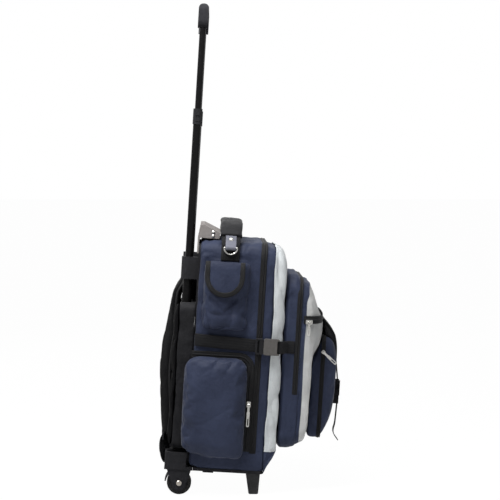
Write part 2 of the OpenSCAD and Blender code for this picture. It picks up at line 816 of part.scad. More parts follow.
function strap_section(i) =
  let (p = shoulder_path)
  let (f = i / (len(p) - 1))
  let (x = -tube_x + 54 - 54 * f)
  let (end = (i == 0 || i == len(p) - 1) ? 0.86 : 1)
  let (half = shoulder_width / 2 * end * (1 - 0.32 * f * f))
  let (n = [way(p, i)[1], -way(p, i)[0]])
  [for (k = [0 : 11])
    let (c = cos(30 * k + 15))
    let (s = sin(30 * k + 15))
    let (u = half * sign(c) * pow(abs(c), 0.55))
    let (v = shoulder_t / 2 * end * sign(s) * pow(abs(s), 0.7))
    [x + u, p[i][0] + v * n[0], p[i][1] + v * n[1]]];

module shoulder_strap(side) {
  color("#202023") stand() handed(side)
    loft([for (i = [len(shoulder_path) - 1 : -1 : 0]) strap_section(i)]);
}

// Webbing from each shoulder strap down to its wheel housing, through a ladder lock
module strap_adjusters() {
  tip = shoulder_path[len(shoulder_path) - 1];
  y1 = housing_y1 + 1.2;
  path = [[-tip[0], tip[1] - fit], [-tip[0] + 1.5, tip[1] - 10], [-y1 - 1, deck_z + 24],
    [-y1, deck_z + 18], [-y1, deck_z + 2]];
  color("#1c1c1e") stand() both() translate([-tube_x, 0, 0]) {
    across(20) polygon(strip(path, 1.8));
    translate([0, tip[0] - 0.4, tip[1] - 6 - fit]) difference() {
      cube([30, 6, 12], center = true);
      translate([0, 0, 2.5]) cube([22, 9, 2.4], center = true);
      translate([0, 0, -2.5]) cube([22, 9, 2.4], center = true);
    }
  }
}

// Carry handle over the top, its wrapped grip, and the tabs that hold the D-rings

handle_rise = bag_z1 + 36;
handle_left = [[-main_half - 2, phone_z1 + 2 * fit], [-main_half - 2, bag_z1 - 22],
  [-main_half + 1, bag_z1 - 4], [-main_half + 9, bag_z1 + 10], [-main_half + 22, bag_z1 + 21],
  [-main_half + 42, bag_z1 + 29], [-main_half + 72, bag_z1 + 33.5]];
handle_path = concat(handle_left, [[0, handle_rise]],
  [for (i = [len(handle_left) - 1 : -1 : 0]) [-handle_left[i][0], handle_left[i][1]]]);
handle_t = 3;
wrap_half = 88;

// Extrudes an outline of across and up distances along the depth, about the handle's middle
module along(width) {
  translate([0, -handle_w, 0]) rotate([90, 0, 0])
    linear_extrude(height = width, center = true) children();
}

module carry_handle() {
  color("#1c1c1e") stand() along(handle_width) polygon(strip(handle_path, handle_t));
}

module carry_wrap() {
  top = [[-wrap_half, handle_rise - 4.1], [0, handle_rise], [wrap_half, handle_rise - 4.1]];
  color("#26262a") stand() difference() {
    along(handle_width + 7) polygon(strip(top, handle_t + 9));
    along(handle_width + 0.2) polygon(strip(handle_path, handle_t + 0.2));
  }
}

ring_x = main_half + 8.6;
ring_z = bag_z1 - 15;

tab_t = 2;
tab_out = (handle_t + tab_t) / 2 + fit;
tab_path = [[-ring_x + 2, ring_z + 3], [-main_half - 3.4, ring_z + 7],
  beside(handle_path, 2, tab_out), beside(handle_path, 3, tab_out), beside(handle_path, 4, tab_out)];
// Place and turn of the snap on the straight stretch of a tab
snap_way = unit(tab_path[3] - tab_path[2]);
snap_turn = atan2(snap_way[1], snap_way[0]);
snap_at = tab_path[2] + 5.4 * snap_way + tab_t / 2 * [-snap_way[1], snap_way[0]];

module handle_tabs() {
  color("#6e6e78") stand() both() difference() {
    union() {
      along(22) polygon(strip(tab_path, tab_t));
      translate([-ring_x, -handle_w, ring_z]) rotate([90, 0, 0])
        cylinder(r = wire_d / 2 + 2.2, h = 22, center = true);
    }
    translate([-ring_x, -handle_w, ring_z]) rotate([90, 0, 0])
      cylinder(d = wire_d + 2 * pin_clear, h = 99, center = true);
  }
}

module d_ring(side) {
  color("#cfd2d4") stand() handed(side) translate([-ring_x, -handle_w, ring_z]) {
    rotate([90, 0, 0]) cylinder(d = wire_d, h = 2 * ring_r, center = true);
    rotate([0, 90, 0]) rotate([0, 0, -90]) rotate_extrude(angle = 180)
      translate([ring_r, 0]) circle(d = wire_d);
  }
}

// Zip sliders and their pulls: x along the panel, y up, z out from the tape

pin_d = 1.6;
pin_h = 5.2;
lug_x = 2.9;
eye_half = 2.2;
side_pull_len = 46;
small_pull_len = 28;
pocket_pull_len = 36;
// Turn of the pull that lies askew on the front pocket
pocket_turn = 50;
side_pull_z = side_z0 + 108;

module zip_slider(half_x, half_y) {
  translate([0, 0, 0.1]) linear_extrude(2.9) rounded(-half_x, half_x, -half_y, half_y, 1.8);
  for (s = [-1, 1]) translate([s * lug_x - 0.5, -1.6, 2.4]) cube([1, 3.2, pin_h - 0.6]);
  translate([0, 0, pin_h]) rotate([0, 90, 0]) cylinder(d = pin_d, h = 2 * lug_x, center = true);
}

module zip_pull(length) {
  difference() {
    union() {
      translate([0, 0, pin_h]) rotate([0, 90, 0]) cylinder(r = 2, h = 2 * eye_half, center = true);
      translate([0, 0, pin_h - 0.8]) linear_extrude(1.6) {
        translate([-eye_half, -0.4 * length]) square([2 * eye_half, 0.4 * length]);
        rounded(-3, 3, -length, -0.3 * length, 2.6);
      }
    }
    translate([0, 0, pin_h]) rotate([0, 90, 0])
      cylinder(d = pin_d + 2 * pin_clear, h = 9, center = true);
    translate([-1.1, -length + 3, 0]) cube([2.2, 0.3 * length, 20]);
  }
}

// Places a slider or pull on a tape that faces the left
module on_tape(out, y, z) {
  translate([-out, y, z]) rotate([90, 0, -90]) children();
}

module at_side_zip() {
  on_tape(side_x + tape_t, -side_w1 - 7, side_pull_z) children();
}

module at_front_zip() {
  on_tape(second_half + 1.3, second_y + 11, swell_z0 + 75.5) children();
}

module at_pocket_zip() {
  on_tape(pocket_half + 1.6, second_y - swell_depth - 5.1, pocket_top - 32)
    rotate([0, 0, pocket_turn]) children();
}

// The sliders of the two large zips stand on the right
module at_main_zip() {
  mirror([1, 0, 0]) on_tape(main_half + 1.4, -zip_w0 - zip_width / 2, side_z0 + 160) children();
}

module at_second_zip() {
  mirror([1, 0, 0]) on_tape(second_half + 1.4, second_zip_y - 5, side_z0 + 160) children();
}

module zip_sliders() {
  color("#cfd2d4") stand() {
    at_front_zip() zip_slider(7, 4.5);
    at_pocket_zip() zip_slider(3.6, 3.6);
    at_main_zip() zip_slider(4, 6);
    at_second_zip() zip_slider(4, 6);
  }
}

module side_slider(side) {
  color("#cfd2d4") stand() handed(side) at_side_zip() zip_slider(4, 6);
}

module side_pull(side) {
  color("#cfd2d4") stand() handed(side) at_side_zip() zip_pull(side_pull_len);
}

module front_pull() {
  color("#cfd2d4") stand() at_front_zip() zip_pull(small_pull_len);
}

module pocket_pull() {
  color("#cfd2d4") stand() at_pocket_zip() zip_pull(pocket_pull_len);
}

module main_pull() {
  color("#cfd2d4") stand() at_main_zip() zip_pull(small_pull_len);
}

module second_pull() {
  color("#cfd2d4") stand() at_second_zip() zip_pull(small_pull_len);
}

chassis_plate();
wheel_housing("left");  // wheel_housing_left
wheel_housing("right");  // wheel_housing_right
front_feet();
axle_pins();
outer_tubes();
tube_keepers();
top_bracket();
rivets();
frame_board();
middle_tubes();
middle_collars();
inner_tubes();
trolley_grip();
grip_button();
wheel_tyre("left");  // wheel_tyre_left
wheel_tyre("right");  // wheel_tyre_right
wheel_hub("left");  // wheel_hub_left
wheel_hub("right");  // wheel_hub_right
main_compartment();
main_zip_tape();
main_front_panel();
second_compartment();
second_zip_tape();
second_front_panel();
front_zip_tapes();
front_pocket();
front_flap();
front_strap();
front_buckle_socket();
front_buckle_plug();
front_strap_tail();
side_pockets();
side_zip_tapes();
phone_pockets();
phone_flap("left");  // phone_flap_left
phone_flap("right");  // phone_flap_right
side_straps();
side_buckle_sockets();
side_buckle_plug("left");  // side_buckle_plug_left
side_buckle_plug("right");  // side_buckle_plug_right
back_shell();
back_pads();
shoulder_strap("left");  // shoulder_strap_left
shoulder_strap("right");  // shoulder_strap_right
strap_adjusters();
carry_handle();
carry_wrap();
handle_tabs();
d_ring("left");  // d_ring_left
d_ring("right");  // d_ring_right
zip_sliders();
side_slider("left");  // side_slider_left
side_slider("right");  // side_slider_right
side_pull("left");  // side_pull_left
side_pull("right");  // side_pull_right
front_pull();
pocket_pull();
main_pull();
second_pull();
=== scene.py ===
"""Wheeled trolley backpack: soft shells, webbing, zips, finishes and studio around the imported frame.

The bag leans forward on its wheels, so every soft piece is drawn in the bag's own upright frame, in
millimetres (x to the right, y to the back, z up along the handle), and then leaned into the row frame.
"""

import logging
import math
from dataclasses import dataclass
from enum import Enum
from functools import reduce
from typing import Callable, ClassVar, Optional, Sequence

import bmesh
import bpy
import numpy as np
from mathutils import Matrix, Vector
from mathutils.bvhtree import BVHTree


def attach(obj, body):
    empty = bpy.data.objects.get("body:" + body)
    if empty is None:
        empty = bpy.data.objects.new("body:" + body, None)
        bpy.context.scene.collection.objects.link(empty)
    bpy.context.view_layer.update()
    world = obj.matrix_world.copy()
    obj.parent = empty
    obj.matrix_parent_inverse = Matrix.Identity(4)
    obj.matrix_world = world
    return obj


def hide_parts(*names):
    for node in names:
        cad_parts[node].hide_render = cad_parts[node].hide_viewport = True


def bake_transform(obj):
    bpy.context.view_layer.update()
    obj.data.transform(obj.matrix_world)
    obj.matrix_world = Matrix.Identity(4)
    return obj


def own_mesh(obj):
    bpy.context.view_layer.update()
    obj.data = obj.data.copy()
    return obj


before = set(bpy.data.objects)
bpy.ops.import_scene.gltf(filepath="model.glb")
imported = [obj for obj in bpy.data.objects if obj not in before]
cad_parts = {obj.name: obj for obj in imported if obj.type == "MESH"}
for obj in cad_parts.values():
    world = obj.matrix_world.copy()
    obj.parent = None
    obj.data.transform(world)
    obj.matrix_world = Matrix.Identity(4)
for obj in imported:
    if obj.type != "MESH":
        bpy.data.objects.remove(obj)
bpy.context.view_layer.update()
LOG = logging.getLogger("backpack")

Array = np.ndarray
Row = Sequence[float]
Gauge = Callable[[Array], Array]
Move = Callable[[Array, Array], Array]
MM = 0.001
TINY = 1e-9
UV_NAME = "along"
ACROSS, BACK, UP = np.eye(3)


class Side(Enum):
    """The two sides of the bag, with the sign of their x."""

    LEFT = -1.0
    RIGHT = 1.0

    @property
    def label(self) -> str:
        """Name of the side in node and body names."""
        return self.name.lower()


def assign(item: object, **values: object) -> None:
    """Sets several attributes of an item."""
    for key, value in values.items():
        setattr(item, key, value)


# --- frame


def rows_of(items: bpy.types.bpy_prop_collection, key: str) -> Array:
    """Reads a vector attribute of many items.

    Args:
        items: vertices or faces of a mesh.
        key: name of the attribute.

    Returns:
        One row of three numbers per item.
    """
    flat = np.zeros(len(items) * 3)
    items.foreach_get(key, flat)
    return flat.reshape(-1, 3)


@dataclass(frozen=True)
class LocalBox:
    """Box of a CAD node in the bag's own frame, in millimetres."""

    low: Array
    high: Array

    @property
    def middle(self) -> Array:
        """Centre of the box."""
        return (self.low + self.high) / 2

    @property
    def size(self) -> Array:
        """Lengths of the box's edges."""
        return self.high - self.low


@dataclass(frozen=True)
class BagFrame:
    """The leaned frame that the bag is drawn in.

    Attributes:
        lean_deg: forward lean of the bag.
        depth_shift: move along the depth that centres the bag, in millimetres.
    """

    lean_deg: float = 3.5
    depth_shift: float = 1.3

    def turn(self) -> Array:
        """Rotation from the bag's frame to the row frame."""
        c, s = math.cos(math.radians(self.lean_deg)), math.sin(math.radians(self.lean_deg))
        return np.array([[1, 0, 0], [0, c, -s], [0, s, c]])

    def to_world(self, points: Array) -> Array:
        """Leans points in millimetres into the row frame, in metres."""
        return (np.asarray(points, float) @ self.turn().T + [0, self.depth_shift, 0]) * MM

    def to_local(self, points: Array) -> Array:
        """Inverse of to_world."""
        return (np.asarray(points, float) / MM - [0, self.depth_shift, 0]) @ self.turn()

    def box(self, node: str) -> LocalBox:
        """Box of the named CAD node in the bag's frame."""
        local = self.to_local(rows_of(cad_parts[node].data.vertices, "co"))
        return LocalBox(local.min(0), local.max(0))


BAG = BagFrame()


# --- relief of cloth

HASH_TURN = (127.1, 311.7, 74.7)
HASH_SEED = 17.3
HASH_GAIN = 43758.5453
FOLD_OCTAVES = 2


def lattice(points: Array, seed: float) -> Array:
    """Smooth noise from -1 to 1 with unit cells.

    Args:
        points: rows of x, y, z.
        seed: any number; each gives its own field.

    Returns:
        One value per row.
    """
    cell = np.floor(points)
    f = points - cell
    f = f * f * (3 - 2 * f)
    total = np.zeros(len(points))
    for corner in np.ndindex(2, 2, 2):
        h = np.sin((cell + corner) @ HASH_TURN + seed * HASH_SEED) * HASH_GAIN
        weight = np.prod(np.where(np.array(corner) == 1, f, 1 - f), axis=1)
        total += weight * (h - np.floor(h))
    return 2 * total - 1


def folds(points: Array, cell: Row, seed: float) -> Array:
    """Layered noise whose cells are stretched per axis, as cloth folds are.

    Args:
        points: rows of x, y, z in millimetres.
        cell: length of a fold along each axis, in millimetres.
        seed: field number.

    Returns:
        One value per row, about -1 to 1.
    """
    scaled = np.asarray(points, float) / np.asarray(cell, float)
    total = np.zeros(len(scaled))
    for k in range(FOLD_OCTAVES):
        total += lattice(scaled * 2.0**k, seed + 7.7 * k) / 1.8**k
    return total


def creases(points: Array, cell: Row, seed: float) -> Array:
    """Narrow grooves between soft swells, as pulled cloth shows.

    Args:
        points: rows of x, y, z in millimetres.
        cell: length of a crease along each axis, in millimetres.
        seed: field number.

    Returns:
        One value per row, from -1 in a groove to 0.
    """
    c, d = math.cos(seed), math.sin(seed)
    skew = np.array([[1, 0.4 * d, 0.3 * c], [0.4 * c, 1, 0.5 * d], [0.3 * d, -0.5 * c, 1]])
    at = np.asarray(points, float) @ skew / np.asarray(cell, float)
    warp = 0.5 * np.stack([lattice(at * 0.8, seed + k) for k in range(3)], axis=1)
    return -((1 - np.abs(lattice(at + warp, seed + 5))) ** 4)


def share_of(values: Array, width: float) -> Array:
    """Share from 0 at nought to 1 at the given width."""
    return np.clip(values / width, 0, 1)


def bell(values: Array, width: float) -> Array:
    """Round hump of height 1 at nought."""
    return np.exp(-((values / width) ** 2))


@dataclass(frozen=True)
class Wrinkles:
    """Relief of cloth: soft folds and pulled creases, each with its height, cell lengths and field number."""

    fold: float
    fold_cell: Row
    fold_seed: float
    crease: float = 0.0
    crease_cell: Row = (1, 1, 1)
    crease_seed: float = 0.0

    def __call__(self, p: Array, n: Array) -> Array:
        """Shift of each point p along its normal n."""
        soft = self.fold * folds(p, self.fold_cell, self.fold_seed)
        return soft + self.crease * creases(p, self.crease_cell, self.crease_seed)


# --- paths

CURVE_STEPS = 24


def unit(rows: Array) -> Array:
    """Rows scaled to length 1."""
    return rows / np.maximum(np.linalg.norm(rows, axis=1), TINY)[:, None]


def square_to(path: Array, axis: Array) -> Array:
    """Unit directions square to a path and to an axis, one for all points or one each."""
    return unit(np.cross(np.gradient(path, axis=0), axis))


def facing(rows: Array, towards: Row) -> Array:
    """Rows, all turned round where most of them point away from a direction."""
    return rows if (rows @ np.asarray(towards, float)).sum() > 0 else -rows


def lengths_along(path: Array) -> Array:
    """Distance of each point of a path from its start."""
    return np.concatenate([[0], np.cumsum(np.linalg.norm(np.diff(path, axis=0), axis=1))])


def even(path: Array, count: int) -> Array:
    """Resamples a polyline to evenly spaced points."""
    along = lengths_along(path)
    return np.stack([np.interp(np.linspace(0, along[-1], count), along, c) for c in path.T], axis=1)


def smooth_path(points: Sequence[Row], count: int) -> Array:
    """Even points on a Catmull-Rom curve through the given ones.

    Args:
        points: two or more points of any dimension.
        count: how many points to return.

    Returns:
        count rows, evenly spaced along the curve.
    """
    p = np.asarray(points, float)
    p = np.vstack([2 * p[0] - p[1], p, 2 * p[-1] - p[-2]])
    dense = []
    for i in range(1, len(p) - 2):
        a, b, c, d = p[i - 1 : i + 3]
        for t in np.linspace(0, 1, CURVE_STEPS, endpoint=False):
            square, cube = 2 * a - 5 * b + 4 * c - d, 3 * b - a - 3 * c + d
            dense.append(0.5 * (2 * b + (c - a) * t + square * t**2 + cube * t**3))
    dense.append(p[-2])
    return even(np.array(dense), count)


def fore_path(line: Sequence[Row], count: int) -> Array:
    """Smooth path in the bag's middle plane through pairs of forward and up."""
    return smooth_path([(0, -w, z) for w, z in line], count)


def arch_path(line: Sequence[Row], y: float, count: int) -> Array:
    """Smooth path at one depth through pairs of x and z."""
    return smooth_path([(x, y, z) for x, z in line], count)


# --- meshes

PAD_SIDES = 28


@dataclass(frozen=True)
class OutlineGrid:
    """How many points the corners, level stretches and uprights of a rounded outline get.

    Attributes:
        spare: least straight stretch beside a corner, in millimetres.
    """

    corner: int = 9
    level: int = 36
    upright: int = 60
    spare: float = 0.3

    def points(self, x0: float, x1: float, z0: float, z1: float, r_top: float, r_low: float) -> Array:
        """Rounded outline from the middle of the foot, anticlockwise.

        Args:
            x0: left edge.
            x1: right edge.
            z0: foot.
            z1: top.
            r_top: radius of the top corners.
            r_low: radius of the foot's corners.

        Returns:
            Rows of x and z.
        """
        limit = min(x1 - x0, z1 - z0) / 2 - self.spare
        rt, rl = min(r_top, limit), min(r_low, limit)
        mid = (x0 + x1) / 2
        return np.vstack([
            self._line((mid, z0), (x1 - rl, z0), self.level // 2),
            self._arc((x1 - rl, z0 + rl), rl, -90),
            self._line((x1, z0 + rl), (x1, z1 - rt), self.upright),
            self._arc((x1 - rt, z1 - rt), rt, 0),
            self._line((x1 - rt, z1), (x0 + rt, z1), self.level),
            self._arc((x0 + rt, z1 - rt), rt, 90),
            self._line((x0, z1 - rt), (x0, z0 + rl), self.upright),
            self._arc((x0 + rl, z0 + rl), rl, 180),
            self._line((x0 + rl, z0), (mid, z0), self.level // 2),
        ])

    def ring(self, depth: float, *outline: float) -> Array:
        """The outline as a ring of x, y and z at one depth."""
        flat = self.points(*outline)
        return np.stack([flat[:, 0], np.full(len(flat), depth), flat[:, 1]], axis=1)

    @staticmethod
    def _line(a: Row, b: Row, n: int) -> Array:
        """n points from a towards b, without b."""
        t = np.linspace(0, 1, n, endpoint=False)[:, None]
        return (1 - t) * np.array(a) + t * np.array(b)

    def _arc(self, centre: Row, r: float, start_deg: float) -> Array:
        """Quarter circle from start_deg on, without its last point."""
        a = np.radians(start_deg + np.linspace(0, 90, self.corner, endpoint=False))
        return np.array(centre) + r * np.stack([np.cos(a), np.sin(a)], axis=1)


GRID = OutlineGrid()
POCKET_GRID = OutlineGrid(corner=10, level=16, upright=30)


@dataclass
class MeshData:
    """Points and faces of a piece under construction, in millimetres in the bag's frame."""

    points: Array
    faces: list[tuple[int, ...]]
    uv: Optional[Array] = None

    def joined(self, other: "MeshData") -> "MeshData":
        """Both meshes as one, with texture places if both have them.

        Args:
            other: the mesh to add.

        Returns:
            The new mesh.
        """
        shift = len(self.points)
        faces = self.faces + [tuple(i + shift for i in f) for f in other.faces]
        both = self.uv is not None and other.uv is not None
        uv = np.vstack([self.uv, other.uv]) if both else None
        return MeshData(np.vstack([self.points, other.points]), faces, uv)

    def mirrored(self) -> "MeshData":
        """The mesh on the other side of the bag."""
        return MeshData(self.points * [-1, 1, 1], [f[::-1] for f in self.faces], self.uv)


def join(meshes: Sequence[MeshData]) -> MeshData:
    """All meshes as one."""
    return reduce(MeshData.joined, meshes)


def skin(rings: Array, cap_first: int = 0, cap_last: int = 0, crown: Row = (0, 0, 0),
         flat_ends: bool = False) -> MeshData:
    """Skins closed rings, with caps of shrinking rings that may crown.

    Args:
        rings: array of rings by points by 3.
        cap_first: rings in the cap on the first ring, 0 for none.
        cap_last: rings in the cap on the last ring.
        crown: how far the middle of the last cap stands out.
        flat_ends: whether one flat face closes each end.

    Returns:
        The mesh, with quads all round.
    """
    rows = [r for r in rings]
    n = rings.shape[1]
    ends: list[tuple[bool, Array]] = []
    for first, count, rise in ((True, cap_first, np.zeros(3)), (False, cap_last, np.array(crown))):
        edge = rings[0] if first else rings[-1]
        centre = edge.mean(0)
        for k in range(1, count):
            t = k / count
            ring = edge * (1 - t) + centre * t + rise * (1 - (1 - t) ** 2)
            rows.insert(0, ring) if first else rows.append(ring)
        if count:
            ends.append((first, centre + rise))
    points = np.vstack(rows)
    last = (len(rows) - 1) * n
    faces: list[tuple[int, ...]] = [
        (k + i, k + (i + 1) % n, k + n + (i + 1) % n, k + n + i) for k in range(0, last, n) for i in range(n)]
    for first, centre in ends:
        points = np.vstack([points, centre])
        base = 0 if first else last
        faces += [(base + i, base + (i + 1) % n, len(points) - 1) for i in range(n)]
    if flat_ends:
        faces += [tuple(range(n - 1, -1, -1)), tuple(range(last, last + n))]
    return MeshData(points, faces)


def key_rings(keys: Sequence[Row], steps: Sequence[int], grid: OutlineGrid, soften: int = 2) -> Array:
    """Rings between key sections.

    Args:
        keys: rows of depth, x0, x1, z0, z1, top radius and foot radius.
        steps: rings between each key and the next.
        grid: points of a ring.
        soften: how often the rings are averaged with their neighbours.

    Returns:
        Rings by points by 3, with the outline in x and z and the depth in y.
    """
    rows = []
    for a, b, n in zip(keys[:-1], keys[1:], steps):
        rows += [(1 - t) * np.array(a) + t * np.array(b) for t in np.linspace(0, 1, n, endpoint=False)]
    rings = np.array([grid.ring(*row) for row in (*rows, keys[-1])])
    for _ in range(soften):
        rings[1:-1] = 0.25 * rings[:-2] + 0.5 * rings[1:-1] + 0.25 * rings[2:]
    return rings


def ring_at(rings: Array, depth: float) -> int:
    """Number of the ring that starts nearest to a depth."""
    return int(np.argmin(np.abs(rings[:, 0, 1] - depth)))


def ring_out(ring: Array) -> Array:
    """Outward directions of a closed ring that lies across the depth."""
    out = unit(np.cross(BACK, np.roll(ring, -1, 0) - np.roll(ring, 1, 0)))
    return out if ((ring - ring.mean(0)) * out).sum() > 0 else -out


def grid_mesh(rows: Array, uv: Optional[Array] = None) -> MeshData:
    """Open quad mesh over an array of rows by columns by 3.

    Args:
        rows: the points.
        uv: texture places of the points, rows by columns by 2.

    Returns:
        The mesh.
    """
    m, n = rows.shape[:2]
    faces = [(k * n + i, k * n + i + 1, (k + 1) * n + i + 1, (k + 1) * n + i)
             for k in range(m - 1) for i in range(n - 1)]
    return MeshData(rows.reshape(-1, 3), faces, None if uv is None else uv.reshape(-1, 2))


def ribbon(path: Array, across: Array, width: float, thick: float) -> MeshData:
    """Webbing along a path: a flat closed section with soft edges.

    Args:
        path: points of the middle line.
        across: unit direction of the width, one for all points or one each.
        width: width of the webbing.
        thick: its thickness.

    Returns:
        The closed mesh, with lengths in metres as texture places.
    """
    across = np.broadcast_to(across, path.shape)
    up = square_to(path, across)
    h, t = width / 2, thick / 2
    face = [(-h + t * 0.3, t * 0.75), (-h + t, t), (-h * 0.34, t)]
    face += [(-a, b) for a, b in face[::-1]]
    section = [(-h, 0.0), *face, (h, 0.0), *[(a, -b) for a, b in face[::-1]]]
    rings = np.array([[p + a * w + b * u for a, b in section] for p, w, u in zip(path, across, up)])
    mesh = skin(rings, flat_ends=True)
    mesh.uv = np.array([(s, a * MM) for s in lengths_along(path) * MM for a, _ in section])
    return mesh


def tube(path: Array, radius: float, sides: int = 8) -> MeshData:
    """Round cord along a path, used for binding and bars.

    Args:
        path: points of the middle line.
        radius: radius of the cord.
        sides: points round it.

    Returns:
        The closed mesh.
    """
    way = unit(np.gradient(path, axis=0))
    a = unit(np.cross(way, ACROSS if np.abs(way[:, 0]).mean() < 0.6 else BACK))
    b = np.cross(way, a)
    turn = [(math.cos(q), math.sin(q)) for q in np.linspace(0, 2 * math.pi, sides, endpoint=False)]
    rings = [[p + radius * (c * u + s * v) for c, s in turn] for p, u, v in zip(path, a, b)]
    return skin(np.array(rings), flat_ends=True)


def pad_section(wide: float, high: float, wide_power: float, high_power: float) -> tuple[Array, Array]:
    """Section of a padded strap, fuller than an ellipse.

    Args:
        wide: half of its width.
        high: half of its thickness.
        wide_power: how round it is across; less is squarer.
        high_power: how round it is in thickness.

    Returns:
        Places across the width and over the thickness.
    """
    angles = np.linspace(0, 2 * math.pi, PAD_SIDES, endpoint=False)
    c, s = np.cos(angles), np.sin(angles)
    return wide * np.sign(c) * np.abs(c) ** wide_power, high * np.sign(s) * np.abs(s) ** high_power


def stitches(path: Array, out: Array, width: float = 0.7, length: float = 3.0, gap: float = 1.8) -> MeshData:
    """Row of thread stitches lying on a surface.

    Args:
        path: points along the row.
        out: outward direction of the surface at each point.
        width: thickness of the thread.
        length: length of a stitch.
        gap: gap between stitches.

    Returns:
        One small raised bar per stitch.
    """
    along = lengths_along(path)
    count = max(1, int(along[-1] / (length + gap)))
    points, faces = [], []
    for k in range(count):
        s = (k + 0.5) * along[-1] / count
        a, b = [np.array([np.interp(s + d, along, c) for c in path.T]) for d in (-length / 2, length / 2)]
        n = np.array([np.interp(s, along, c) for c in out.T])
        side = np.cross(b - a, n)
        side *= width / 2 / np.linalg.norm(side)
        foot = (a + b) / 2
        top = foot + n / np.linalg.norm(n) * width * 0.55
        i = len(points)
        points += [a - side * 0.4, a + side * 0.4, top - side, top + side, b - side * 0.4, b + side * 0.4,
                   foot - side * 1.3, foot + side * 1.3]
        faces += [(i, i + 1, i + 3, i + 2), (i + 2, i + 3, i + 5, i + 4), (i, i + 2, i + 6),
                  (i + 2, i + 4, i + 6), (i + 1, i + 7, i + 3), (i + 3, i + 7, i + 5)]
    return MeshData(np.array(points), faces)


# --- finishes

Node, Socket, Tree = bpy.types.Node, bpy.types.NodeSocket, bpy.types.NodeTree


class SocketKind(Enum):
    """Kinds of socket that a node group has."""

    VALUE = "NodeSocketFloat"
    COLOR = "NodeSocketColor"


class Nodes:
    """Places and links shader nodes in one tree."""

    def __init__(self, tree: Tree) -> None:
        """Keeps the tree."""
        self.tree = tree

    def feed(self, node: Node, inputs: dict) -> Node:
        """Fills sockets of a node.

        Args:
            node: the node.
            inputs: socket name or number to a value or to an output socket.

        Returns:
            The node.
        """
        for key, value in inputs.items():
            if isinstance(value, Socket):
                self.tree.links.new(value, node.inputs[key])
            else:
                node.inputs[key].default_value = value
        return node

    def add(self, kind: str, inputs: Optional[dict] = None, **settings: object) -> Node:
        """Adds a node.

        Args:
            kind: the node's type name.
            inputs: socket name or number to a value or to an output socket.
            **settings: attributes of the node.

        Returns:
            The node.
        """
        node = self.tree.nodes.new(kind)
        assign(node, **settings)
        return self.feed(node, inputs or {})

    def group(self, tree: Tree, **inputs: object) -> Node:
        """A node group with its inputs filled."""
        return self.add("ShaderNodeGroup", inputs, node_tree=tree)

    def math(self, operation: str, a: object, b: object = 0.0) -> Socket:
        """A math node's output."""
        return self.add("ShaderNodeMath", {0: a, 1: b}, operation=operation).outputs[0]

    def scaled(self, value: object, by: object, plus: object) -> Socket:
        """A value times a number plus another."""
        return self.add("ShaderNodeMath", {0: value, 1: by, 2: plus}, operation="MULTIPLY_ADD").outputs[0]

    def mix(self, factor: object, a: object, b: object, blend: str = "MIX") -> Socket:
        """A colour mix's output."""
        inputs = {0: factor, 6: a, 7: b}
        return self.add("ShaderNodeMix", inputs, data_type="RGBA", blend_type=blend).outputs[2]

    def ramp(self, value: object, low: float, high: float, to_low: float = 0.0, to_high: float = 1.0) -> Socket:
        """A clamped map range's output."""
        inputs = {0: value, 1: low, 2: high, 3: to_low, 4: to_high}
        return self.add("ShaderNodeMapRange", inputs).outputs[0]

    def shaded(self, color: Socket, height: Socket, *span: float) -> Socket:
        """A colour with painted shade in the hollows of a height and a painted highlight on its ridges.

        Args:
            color: the colour.
            height: the height.
            *span: the height's low and high, and the brightness at each.

        Returns:
            The colour with its painted shade and painted highlight.
        """
        shade = self.ramp(height, *span)
        grey = self.add("ShaderNodeCombineColor", {i: shade for i in range(3)}).outputs[0]
        return self.mix(1.0, color, grey, "MULTIPLY")

    def place(self) -> Socket:
        """Place in the object's own space."""
        return self.add("ShaderNodeTexCoord").outputs["Object"]

    def noise(self, scale: object, detail: float = 4.0, roughness: float = 0.55) -> Socket:
        """A noise texture's value."""
        inputs = {"Vector": self.place(), "Scale": scale, "Detail": detail, "Roughness": roughness}
        return self.add("ShaderNodeTexNoise", inputs).outputs[0]

    def cells(self, scale: object, **settings: object) -> Socket:
        """Distance from the nearest cell's middle."""
        inputs = {"Vector": self.place(), "Scale": scale}
        return self.add("ShaderNodeTexVoronoi", inputs, **settings).outputs[0]


def new_group(name: str, inputs: dict, outputs: dict[str, SocketKind]) -> tuple[Nodes, dict[str, Socket]]:
    """Empty shader node group with named sockets.

    Args:
        name: the group's name.
        inputs: socket name to its default, a number or a colour.
        outputs: socket name to its kind.

    Returns:
        The group's nodes, and the sockets that its inputs arrive at.
    """
    tree = bpy.data.node_groups.new(name, "ShaderNodeTree")
    for key, default in inputs.items():
        kind = SocketKind.COLOR if isinstance(default, tuple) else SocketKind.VALUE
        tree.interface.new_socket(key, in_out="INPUT", socket_type=kind.value).default_value = default
    for key, kind in outputs.items():
        tree.interface.new_socket(key, in_out="OUTPUT", socket_type=kind.value)
    n = Nodes(tree)
    arrive = n.add("NodeGroupInput")
    return n, {key: arrive.outputs[key] for key in inputs}


